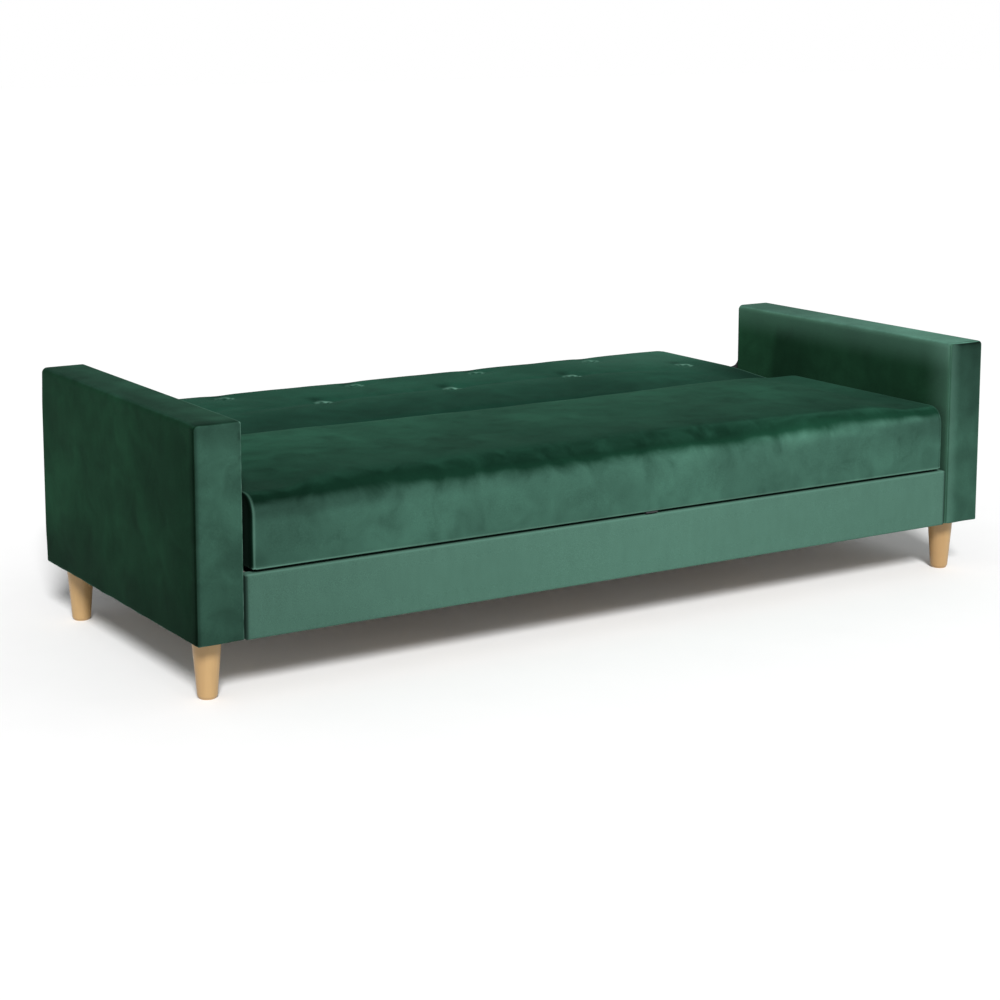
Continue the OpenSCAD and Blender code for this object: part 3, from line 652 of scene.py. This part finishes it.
def arm_marks(co, normal, low, high, inner_x, outer_x, right):
    """Painted sheen and painted light and shade on an arm's pile at each point."""
    depth, from_top, height = co[:, 1] - low.y, high.z - co[:, 2], co[:, 2] - low.z
    from_inner, from_outer = np.abs(co[:, 0] - inner_x), np.abs(co[:, 0] - outer_x)
    sideways = smoothstep(np.abs(normal[:, 0]), *TURNED)
    forward = smoothstep(-normal[:, 1], *TURNED)
    upward = smoothstep(normal[:, 2], *TURNED)
    patchy = np.clip(0.6 + 1.1 * ripples(co, 70, 2), 0, 1)
    notches = np.clip(ripples(co, 110, 5) * 3 - 0.2, 0, 1)
    painted_groove_shade = bell(depth - ARM_GROOVE_DEPTH, 3.0 * MM)
    # both arms: painted light and shade, sides lighter to the rear and darker low down, and a
    # painted sheen in patches along the lower edge
    painted_light_and_wear = 1 + sideways * (0.32 * smoothstep(depth, 0, 700 * MM) - 0.12)
    painted_light_and_wear *= 1 - sideways * 0.25 * smoothstep(from_top, 250 * MM, 430 * MM)
    painted_sheen = bell(height, 4 * MM) * 0.35 * patchy
    if right:
        # painted sheen along the top and the front of the inner face, round its edge and at the
        # outer front corner
        inside = sideways * bell(from_inner, 20 * MM)
        painted_sheen += inside * 0.24 * (1 - smoothstep(from_top, 6 * MM, 80 * MM))
        painted_sheen += inside * 0.16 * (1 - smoothstep(depth, 10 * MM, 95 * MM))
        painted_sheen += forward * 0.16 * (1 - smoothstep(from_inner, 4 * MM, 34 * MM))
        painted_sheen += bell(from_outer, 6 * MM) * bell(depth - 1 * MM, 4 * MM) * 0.4
        # front face: painted shade, dark along the top where a seam groove's shadow is painted,
        # darker under a seam line, lighter lower down; worn in patches
        painted_light_and_wear *= 1 - 0.85 * painted_groove_shade * smoothstep(from_inner, 18 * MM, 34 * MM)
        painted_light_and_wear *= 1 + forward * (0.35 * smoothstep(from_top, 20 * MM, 330 * MM) - 0.50)
        painted_light_and_wear *= 1 - forward * 0.35 * bell(from_top, 26 * MM) * smoothstep(from_inner, 0, 40 * MM)
        seam = bell(from_top - 3.5 * MM, 5 * MM) * smoothstep(from_inner, 6 * MM, 24 * MM)
        painted_light_and_wear *= 1 - forward * 0.6 * seam
        worn = np.clip(ripples(co, 22, 9) * 1.6, -1, 1)
        painted_light_and_wear *= 1 + forward * 0.16 * worn * smoothstep(from_inner, 5 * MM, 25 * MM)
        # painted light and shade: top darker to the rear; inner face with a painted wavy shadow of
        # a crease before its lighter rear end
        painted_light_and_wear *= 1 - upward * 0.42 * smoothstep(depth, 250 * MM, 680 * MM)
        painted_lit_tail = smoothstep(depth, 610 * MM, 730 * MM)
        wavy = depth - 20 * MM * ripples(co, 8, 3)
        painted_crease_shade = smoothstep(wavy, 430 * MM, 610 * MM) * (1 - smoothstep(wavy, 628 * MM, 665 * MM))
        painted_crease_shade *= smoothstep(from_top, 20 * MM, 60 * MM)
        painted_light_and_wear *= 1 + inside * (0.12 * painted_lit_tail - 0.42 * painted_crease_shade)
        return painted_sheen, painted_light_and_wear
    # left arm: painted sheen along the inner edges
    corner = np.hypot(from_inner, from_top)
    painted_sheen += bell(corner - 2 * MM, 5 * MM) * (0.5 + 0.5 * patchy)
    painted_sheen += bell(from_inner, 4 * MM) * bell(depth - 2 * MM, 5 * MM) * 0.8 * patchy
    # painted shade: dark in the groove behind the front welt and in the tucks beside it, and
    # darker near the edges, low down and on the top
    tucks = bell(from_inner, 16 * MM) * bell(depth - 3 * MM, 14 * MM) * notches
    painted_light_and_wear *= 1 - 0.85 * painted_groove_shade
    painted_light_and_wear *= 1 - 0.55 * tucks * (1 - smoothstep(from_top, 60 * MM, 200 * MM))
    painted_light_and_wear *= 1 - sideways * 0.50 * (1 - smoothstep(depth, 4 * MM, 30 * MM))
    painted_light_and_wear *= 1 - sideways * 0.34 * smoothstep(from_top, 280 * MM, 430 * MM)
    painted_light_and_wear *= 1 - forward * 0.60 * bell(from_outer, 11 * MM)
    painted_light_and_wear *= 1 - forward * 0.26 * smoothstep(from_top, 260 * MM, 430 * MM)
    painted_light_and_wear *= 1 - forward * 0.30 * bell(from_top - 8 * MM, 60 * MM)
    painted_light_and_wear *= 1 - upward * 0.45 * bell(depth, 55 * MM)
    painted_light_and_wear *= 1 - upward * 0.35 * smoothstep(from_inner, 25 * MM, 75 * MM)
    return painted_sheen, painted_light_and_wear


# ---------------------------------------------------------------- base panels

def make_front_panel(material):
    """Padded velvet panel on the front board of the storage box."""
    low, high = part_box("front_panel_cover")

    def outline(inset):
        return rounded_outline(
            (low.y, low.z - 1 * MM), (high.y + 2 * MM, high.z + 0.5 * MM),
            [5 * MM, 1 * MM, 1 * MM, 6 * MM], inset, (3, 16, 4)
        )

    span = (low.x - 1.5 * MM, high.x + 1.5 * MM)
    ends = (FRONT_PANEL_EDGE, FRONT_PANEL_EDGE)
    panel = loft("front_panel", "X", span, outline, ends, 14 * MM, 2)
    co, normal = coordinates(panel), normals(panel)
    height = np.minimum(co[:, 2] - low.z, high.z - co[:, 2])
    from_ends = end_distance(co, low, high)
    crown = smoothstep(np.minimum(height, from_ends), 0, 45 * MM)
    facing = smoothstep(-normal[:, 1], 0.5, 0.95)
    shift = (crown * 1.6 - 0.6) * MM + ripples(co, 6, 11) * 0.8 * MM * crown
    set_coordinates(panel, co + normal * (shift * facing)[:, None])
    subdivide(panel)
    co = coordinates(panel)
    # painted light and shade: darker to the left and dark at the ends
    painted_light_and_wear = 0.80 + 0.25 * smoothstep(co[:, 0], low.x, low.x + 900 * MM)
    painted_light_and_wear *= 1 - 0.07 * smoothstep(co[:, 0], 200 * MM, 800 * MM)
    from_ends = end_distance(co, low, high)
    painted_light_and_wear *= 1 - 0.7 * (1 - smoothstep(from_ends, 0, 6 * MM))
    # painted sheen along the top edge
    mark_pile(panel, bell(high.z - co[:, 2], 4 * MM) * 0.25, painted_light_and_wear)
    finish_piece(panel, material, "base", "velvet", "front_panel_cover")


def make_rear_panel(material):
    """Velvet stretched over the rear board."""
    low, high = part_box("rear_panel_cover")

    def outline(inset):
        return rounded_outline(
            (low.y, low.z), (high.y, high.z), [0.8 * MM] * 4, inset, (1, 16, 2)
        )

    ends = (REAR_PANEL_EDGE, REAR_PANEL_EDGE)
    panel = loft("rear_panel", "X", (low.x, high.x), outline, ends, 16 * MM, 1)
    co, normal = coordinates(panel), normals(panel)
    facing = smoothstep(normal[:, 1], 0.5, 0.95)
    set_coordinates(panel, co + normal * (ripples(co, 7, 4) * 0.7 * MM * facing)[:, None])
    subdivide(panel)
    mark_pile(panel, 0.0, 1.0)
    finish_piece(panel, material, "base", "velvet", "rear_panel_cover")


# ---------------------------------------------------------------- cushions

def cushion_form(name, low, high, radii, top_drop):
    """Rounded slab in a cushion's box, a little lower than it on top, to be blown up."""
    top = high.z - top_drop

    def outline(inset):
        return rounded_outline((low.y, low.z), (high.y, top), radii, inset, (44, 11, 6))

    return loft(name, "X", (low.x, high.x), outline, (CUSHION_EDGE, CUSHION_EDGE), 13 * MM, 6)


def round_corners(piece, low, high, front_r, rear_r):
    """Rounds a cushion's four corners in plan."""
    co = coordinates(piece)
    from_ends = end_distance(co, low, high)
    middle = (low.y + high.y) / 2
    for r, edge, inward in ((front_r, low.y, 1), (rear_r, high.y, -1)):
        into = np.clip(r - from_ends, 0, r)
        pull = r - np.sqrt(r * r - into * into)
        gap = (co[:, 1] - edge) * inward
        share = (1 - smoothstep(gap, 0, 3 * r)) * (inward * (middle - co[:, 1]) > 0)
        co[:, 1] += inward * pull * share
    set_coordinates(piece, co)


def sew_ends(piece, low, high):
    """Sinks the seam round both ends of a cushion; returns each point's distance from an end."""
    co, normal = coordinates(piece), normals(piece)
    from_ends = end_distance(co, low, high)
    near = bell(from_ends - CUSHION_SEAM, 3.5 * MM)
    outward = 1 - smoothstep(np.abs(normal[:, 0]), 0.5, 0.9)
    set_coordinates(piece, co - normal * (near * outward * CUSHION_SEAM_SINK)[:, None])
    return from_ends


def free_share(co, low, from_ends):
    """How far a cushion's cloth is free of its frame and of its end seams, from 0 to 1."""
    above = smoothstep(co[:, 2], low.z + 10 * MM, low.z + 60 * MM)
    return above * smoothstep(from_ends, 5 * MM, 60 * MM)


def keep_clear(piece, low, high, slack):
    """Holds a cushion inside its box at the ends, beside the hinge gap and underneath."""
    co = coordinates(piece)
    co[:, 0] = np.clip(co[:, 0], low.x - slack / 2, high.x + slack / 2)
    co[:, 1] = np.clip(co[:, 1], low.y - slack, high.y + slack / 2)
    co[:, 2] = np.maximum(co[:, 2], low.z)
    set_coordinates(piece, co)


def bare_underside(piece, node):
    """Lifts a cushion's underside inside the edge of its dust cloth, so that the cloth shows."""
    low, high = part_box(node)
    co = coordinates(piece)
    under = co[:, 2] < low.z + 3 * MM
    co[:, 2] += under * smoothstep(edge_distance(co, low, high), 0, 8 * MM) * 3 * MM
    set_coordinates(piece, co)


def make_seat(material):
    """Seat cushion: firm over its frame, swollen above it, with a rolled front edge."""
    low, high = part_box("seat_cover")
    radii = [5 * MM, 6 * MM, 34 * MM, 40 * MM]
    seat = cushion_form("seat_cushion", low, high, radii, 4 * MM)
    co = coordinates(seat)
    from_ends = end_distance(co, low, high)
    held = 1 - smoothstep(co[:, 2], low.z + 45 * MM, low.z + 110 * MM)
    held = np.maximum(held, 1 - smoothstep(from_ends, 25 * MM, 170 * MM))
    inflate(seat, held, 3.0, 14 * MM)
    co, normal = coordinates(seat), normals(seat)
    from_ends = end_distance(co, low, high)
    along = np.minimum(co[:, 1] - low.y, high.y - co[:, 1])
    up = smoothstep(normal[:, 2], 0.3, 0.9)
    crown = smoothstep(from_ends, 0, 260 * MM) * smoothstep(along, 0, 230 * MM)
    co[:, 2] += up * crown * ((3 * MM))
    front = smoothstep(-normal[:, 1], 0.4, 0.95)
    bow = np.cos(np.clip(co[:, 0] / high.x, -1, 1) * math.pi / 2)
    low_edge = 1 - smoothstep(co[:, 2], low.z, low.z + 25 * MM)
    co[:, 2] += front * low_edge * 3.5 * MM * (bow - 0.5)
    swell = ripples(co, 5, 21) * 1.8 * MM + ripples(co, 14, 22) * 0.8 * MM
    co += normal * (swell * free_share(co, low, from_ends))[:, None]
    set_coordinates(seat, co)
    subdivide(seat)
    round_corners(seat, low, high, 9 * MM, 12 * MM)
    from_ends = sew_ends(seat, low, high)
    keep_clear(seat, low, high, 2.5 * MM)
    bare_underside(seat, "seat_base_cloth")
    co, normal = coordinates(seat), normals(seat)
    # painted sheen over the end seams and along the lower front edge
    painted_sheen = bell(co[:, 0] - low.x - 7 * MM, 4 * MM) * 0.2
    painted_sheen += bell(high.x - co[:, 0] - CUSHION_WELT, 4 * MM) * 0.08
    painted_sheen += bell(co[:, 2] - low.z - 2 * MM, 4 * MM) * smoothstep(-normal[:, 1], 0.2, 0.8) * 0.4
    up = smoothstep(normal[:, 2], *TURNED)
    # painted light and shade: top lighter to the rear; front lighter to the right, dark at the
    # ends and the shoulder, and the rolled edge lighter to the right
    painted_light_and_wear = 1 + up * (0.55 * smoothstep(co[:, 1] - low.y, 20 * MM, 420 * MM) - 0.30)
    painted_light_and_wear *= 1 + (1 - up) * (0.30 * smoothstep(co[:, 0], low.x, low.x + 700 * MM) - 0.20)
    painted_light_and_wear *= 1 - 0.75 * (1 - smoothstep(from_ends, 1 * MM, 6 * MM))
    shoulder = smoothstep(co[:, 2], high.z - 64 * MM, high.z - 38 * MM) * (1 - up)
    painted_light_and_wear *= 1 - 0.32 * shoulder * (1 - smoothstep(co[:, 0] - low.x, 100 * MM, 800 * MM))
    painted_light_and_wear *= 1 - 0.17 * smoothstep(co[:, 0], 300 * MM, 900 * MM) * (1 - up)
    upper = smoothstep(co[:, 2], low.z + 50 * MM, high.z - 30 * MM) * (1 - up)
    painted_light_and_wear *= 1 - 0.26 * upper * smoothstep(co[:, 0], 350 * MM, 850 * MM)
    roll = smoothstep(normal[:, 2], 0.2, 0.6) * (1 - smoothstep(normal[:, 2], 0.95, 0.99))
    roll *= 1 - smoothstep(co[:, 1] - low.y, 100 * MM, 160 * MM)
    painted_light_and_wear *= 1 + 0.6 * roll * smoothstep(co[:, 0], -50 * MM, 700 * MM)
    mark_pile(seat, painted_sheen, painted_light_and_wear)
    finish_piece(seat, material, "seat", "velvet", "seat_cover", "seat_foam")


def tuft_places(high):
    """(x, y) of the back's tufts: two rows, half a pitch apart."""
    places = []
    for row, shift in zip(TUFT_ROWS, (TUFT_PITCH / 4, -TUFT_PITCH / 4)):
        for k in range(TUFTS_IN_ROW):
            places.append(((k - (TUFTS_IN_ROW - 1) / 2) * TUFT_PITCH + shift, high.y - row))
    return np.array(places)


def distance_to(co, places):
    """Distance in plan from each point to the nearest place."""
    dx = co[:, None, 0] - places[None, :, 0]
    dy = co[:, None, 1] - places[None, :, 1]
    return np.hypot(dx, dy).min(1)


def refine_near(piece, places, reach, top):
    """Divides the top faces near some places once more."""
    shape = bmesh.new()
    shape.from_mesh(piece.data)
    chosen = []
    for edge in shape.edges:
        middle = (edge.verts[0].co + edge.verts[1].co) / 2
        if middle.z > top:
            gap = np.hypot(places[:, 0] - middle.x, places[:, 1] - middle.y).min()
            if gap < reach:
                chosen.append(edge)
    bmesh.ops.subdivide_edges(shape, edges=chosen, cuts=1, use_grid_fill=True)
    shape.to_mesh(piece.data)
    shape.free()


def make_back(material):
    """Back cushion, lying flat, with two rows of blind tufts."""
    low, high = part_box("back_cover")
    radii = [22 * MM, 18 * MM, 28 * MM, 38 * MM]
    back = cushion_form("back_cushion", low, high, radii, 3 * MM)
    places = tuft_places(high)
    co = coordinates(back)
    near = distance_to(co, places)
    from_ends = end_distance(co, low, high)
    on_top = co[:, 2] > high.z - 12 * MM
    held = 1 - smoothstep(co[:, 2], low.z + 45 * MM, low.z + 100 * MM)
    held = np.maximum(held, 1 - smoothstep(from_ends, 25 * MM, 150 * MM))
    held = np.maximum(held, on_top * (1 - smoothstep(near, 6 * MM, 14 * MM)))
    co[:, 2] -= on_top * bell(near, 60 * MM) * 3 * MM
    set_coordinates(back, co)
    inflate(back, held, 1.2, 6 * MM)
    co, normal = coordinates(back), normals(back)
    from_ends = end_distance(co, low, high)
    swell = ripples(co, 6, 31) * 1.2 * MM + ripples(co, 15, 32) * 0.6 * MM
    co += normal * (swell * free_share(co, low, from_ends))[:, None]
    upper = smoothstep(co[:, 2], high.z - 70 * MM, high.z - 10 * MM)
    co[:, 2] -= upper * (1 - smoothstep(co[:, 1] - low.y, 0, 230 * MM)) * 11 * MM
    set_coordinates(back, co)
    subdivide(back)
    refine_near(back, places, 48 * MM, high.z - 22 * MM)
    painted_tuft_highlight, dark = sink_tufts(back, places, high)
    round_corners(back, low, high, 15 * MM, 26 * MM)
    from_ends = sew_ends(back, low, high)
    keep_clear(back, low, high, 2 * MM)
    bare_underside(back, "back_base_cloth")
    co = coordinates(back)
    # painted light and shade: lighter to the rear and to the right, dark in and behind the tufts,
    # and shaded beside the right arm
    painted_light_and_wear = (1 - dark) * (0.66 + 0.40 * smoothstep(co[:, 1] - low.y, 30 * MM, 420 * MM))
    painted_light_and_wear *= 1 + 0.34 * smoothstep(co[:, 0], 350 * MM, 850 * MM)
    shaded = 1 - smoothstep(high.x - co[:, 0], 20 * MM, 160 * MM)
    painted_light_and_wear *= 1 - 0.45 * shaded * (1 - smoothstep(co[:, 1] - low.y, 120 * MM, 420 * MM))
    # painted sheen over the end seams, round the tufts and at the rear right
    painted_rear_right_sheen = smoothstep(co[:, 0], 350 * MM, 850 * MM)
    painted_rear_right_sheen *= smoothstep(co[:, 1] - low.y, 250 * MM, 440 * MM)
    seam = bell(from_ends - CUSHION_WELT, 4 * MM)
    mark_pile(back, seam * 0.3 + painted_tuft_highlight + 0.09 * painted_rear_right_sheen, painted_light_and_wear)
    finish_piece(back, material, "back", "velvet", "back_cover", "back_foam")


def sink_tufts(piece, places, high):
    """Pulls the cloth down at each tuft into a pinched pit behind a small lifted fold.

    Returns the painted highlight and the painted shade of the pile at each point: a pale ring
    painted where light catches round the pit, brightest at its right and fainter in the rear row,
    and the pit and the hollow behind it painted dark.
    """
    co = coordinates(piece)
    on_top = smoothstep(co[:, 2], high.z - 26 * MM, high.z - 16 * MM)
    painted_tuft_highlight, dark = np.zeros(len(co)), np.zeros(len(co))
    row_middle = (places[0][1] + places[-1][1]) / 2
    for index, (x, y) in enumerate(places):
        dx, dy = co[:, 0] - x, co[:, 1] - y
        gap = np.maximum(np.hypot(dx, dy), 0.1 * MM)
        folds = np.cos(np.arctan2(dy, dx) * 5 + index * 1.7)
        dish = bell(gap, 62 * MM) * 3.5 * MM
        pit = bell(gap, 15 * MM) * 7.0 * MM
        pleat = folds * bell(gap - (TUFT_RING - 1 * MM), 17 * MM) * 1.2 * MM
        near_side = smoothstep(-dy / gap, -0.5, 0.5)
        lip = bell(gap - (TUFT_RING + 1 * MM), 9 * MM) * near_side
        co[:, 2] -= on_top * (dish + pit + pleat - lip * 1.5 * MM)
        level = np.abs(dy) / gap
        # painted highlight: a pale ring round the pit, brighter to the right
        painted_ring_highlight = 1 - smoothstep(np.abs(gap - TUFT_RING) / (4.5 * MM + 5.5 * MM * level), 0, 1)
        bright = 0.45 + 0.55 * smoothstep(dx / gap, -0.2, 0.9)
        bright *= 1 - 0.35 * (y > row_middle)
        painted_tuft_highlight += on_top * painted_ring_highlight * bright * (0.60 + 0.2 * folds)
        # painted shade in the pit and in the hollow behind it
        behind = np.hypot(dx + 6 * MM, (dy - 34 * MM) * 0.8)
        dark += on_top * (bell(gap, 14 * MM) * 0.6 + bell(behind, 30 * MM) * 0.42)
    set_coordinates(piece, co)
    return painted_tuft_highlight, np.clip(dark, 0, 0.85)


# ---------------------------------------------------------------- thin cloth

def cloth_sheet(name, low, high, z, sag, cells, seed):
    """Thin cloth stapled round its edge under a frame, hanging a little between the staples."""
    nx, ny = cells
    xs = np.linspace(low.x, high.x, nx + 1)
    ys = np.linspace(low.y, high.y, ny + 1)
    sheet = grid_piece(name, [(x, y, z) for y in ys for x in xs], nx)
    co = coordinates(sheet)
    loose = smoothstep(edge_distance(co, low, high), 0, 60 * MM)
    co[:, 2] -= sag * (0.4 * loose + 0.6 * loose * (0.5 + 0.5 * ripples(co, 5, seed)))
    set_coordinates(sheet, co)
    thicken(sheet, 0.6 * MM)
    subdivide(sheet)
    return sheet


def make_base_cloths(material):
    """Dust cloths under the seat, the back and the arms."""
    for node, body, rests, cells, sag in (
        ("seat_base_cloth", "seat", "seat_frame", (60, 20), 0.8 * MM),
        ("back_base_cloth", "back", "back_frame", (60, 20), 0.8 * MM),
        ("arm_base_cloth_left", "base", "arm_frame_left", (6, 40), 0.2 * MM),
        ("arm_base_cloth_right", "base", "arm_frame_right", (6, 40), 0.2 * MM),
    ):
        low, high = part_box(node)
        z = high.z - 0.4 * MM
        cloth = cloth_sheet(node.replace("base", "dust"), low, high, z, sag, cells, len(node))
        finish_piece(cloth, material, body, "base_cloth", node)


def gusset_reach(z, low_z, fin_z, arc_z, out):
    """How far a gusset's fin stands out behind the arm at a height.

    It is full in the middle, runs out in a slope below and in a hollow arc above.
    """
    if z > fin_z:
        drop = max(0.0, arc_z - z)
        reach = out - math.sqrt(max(0.0, (out - 2 * MM) ** 2 - drop * drop))
        return min(out, max(reach, 2 * MM))
    if z < fin_z - out:
        return 1.5 * MM + (out - 1.5 * MM) * (z - low_z) / (fin_z - out - low_z)
    return out


def make_hinge_guards(material):
    """Mesh gussets behind the arms: a flange on the arm's rear face and a fin that stands out."""
    rows, across = 40, 18
    off_arm = 0.6 * MM
    for side in ("left", "right"):
        node = "hinge_guard_" + side
        low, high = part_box(node)
        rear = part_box("arm_cover_" + side)[1].y
        out = high.y - rear
        arc_z = high.z - 12 * MM
        fin_z = arc_z - out
        inward = -1 if side == "right" else 1
        fin_x = (low.x if side == "right" else high.x) - inward * 0.5 * MM
        flange = (high.x - low.x) - 1 * MM
        points, area = [], 0.0
        for k in range(rows + 1):
            z = low.z + (high.z - low.z) * k / rows
            reach = gusset_reach(z, low.z, fin_z, arc_z, out)
            area += (reach + flange) * (high.z - low.z) / rows
            for i in range(across + 1):
                s = i / across * 2
                if s <= 1:
                    points.append((fin_x - inward * flange * (1 - s), rear + off_arm, z))
                else:
                    wave = 0.6 * MM * math.sin(8 * s + 30 * z) * (s - 1)
                    y = rear + off_arm + (reach - off_arm) * (s - 1)
                    points.append((fin_x + wave, y, z))
        guard = grid_piece("mesh_gusset_" + side, points, across)
        thicken(guard, 0.5 * MM)
        finish_piece(guard, material, "base", "base_cloth", node)


def make_pull_tab(material):
    """Loop of webbing folded double under the seat's front edge."""
    low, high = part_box("seat_pull_tab")
    steps = 28
    thick = 1.1 * MM
    middle = (low.z + high.z) / 2
    bend = (high.z - low.z - thick) / 2
    reach = high.y - low.y - bend - thick / 2
    path = [(high.y - t * reach, middle + bend) for t in np.linspace(0, 1, steps)]
    for a in np.linspace(0, math.pi, 9)[1:-1]:
        y, z = path[steps - 1]
        path.append((y - bend * math.sin(a), middle + bend * math.cos(a)))
    path += [(y, middle - bend) for y, z in reversed(path[:steps])]
    across = 8
    xs = [low.x + (high.x - low.x) * i / across for i in range(across + 1)]
    tab = grid_piece("pull_tab", [(x, y, z) for y, z in path for x in xs], across)
    thicken(tab, thick)
    finish_piece(tab, material, "seat", "webbing", "seat_pull_tab")


# ---------------------------------------------------------------- the whole

def dress_nodes():
    """Gives every CAD node the material of its slot; returns the materials by slot."""
    looks = {
        "beech": wood("beech", (0.435, 0.278, 0.118), (0.345, 0.207, 0.085), (1, 1, 0.06), 0.42),
        "pine": wood("pine", (0.60, 0.42, 0.22), (0.46, 0.29, 0.13), (0.06, 1, 1), 0.7),
        "board": chipboard("board"),
        "black_steel": metal("black_steel", (0.02, 0.02, 0.022), 0.45, 0.3, 0.6),
        "zinc_steel": metal("zinc_steel", (0.55, 0.55, 0.53), 0.35, 1.0, 0.25),
        "rubber": metal("rubber", (0.02, 0.02, 0.02), 0.8, 0.0, 0.5),
        "webbing": woven("webbing", (0.03, 0.03, 0.032), 420),
        "base_cloth": woven("base_cloth", (0.035, 0.035, 0.036), 650),
        "foam": plain("foam", (0.80, 0.74, 0.52), 0.95, 0.0),
        "velvet": plain("lining", (0.05, 0.12, 0.09), 0.9, 0.0),
    }
    for part in frame["record"]["subparts"]:
        node = NODES[part["node"]]
        node.data.materials.clear()
        node.data.materials.append(looks[part["material_slot"]])
    return looks


looks = dress_nodes()
make_camera()
make_studio()
# each velvet takes lit and shaded copies of its pile colour for faces turned forward, up and
# elsewhere: painted light and shade by facing; the right arm's light top colour is a painted sheen
make_arm("left", velvet(
    "arm_velvet_left", ARM_FRONT_LIT, (0.016, 0.056, 0.035), (0.0055, 0.0265, 0.0127), mottle=0.42
))
make_arm("right", velvet(
    "arm_velvet_right", ARM_FRONT_LIT, (0.080, 0.190, 0.142), ARM_SIDE_SHADED, edges=(0.5, 0.95, 0.3, 0.98),
    mottle=0.26
))
make_front_panel(velvet("panel_velvet", PANEL, PANEL, PANEL, mottle=0.05))
make_rear_panel(velvet("rear_velvet", PANEL, PANEL, ARM_SIDE_SHADED, mottle=0.1))
make_seat(velvet(
    "seat_velvet", (0.034, 0.088, 0.064), (0.0115, 0.049, 0.030), (0.005, 0.027, 0.015),
    edges=(0.70, 0.99, 0.80, 0.995), wander=0.15, mottle=0.28
))
make_back(velvet(
    "back_velvet", (0.006, 0.034, 0.020), (0.0105, 0.051, 0.032), (0.006, 0.034, 0.020),
    edges=(0.2, 0.95, 0.5, 1.0), mottle=0.26
))
make_base_cloths(looks["base_cloth"])
make_hinge_guards(looks["base_cloth"])
make_pull_tab(looks["webbing"])
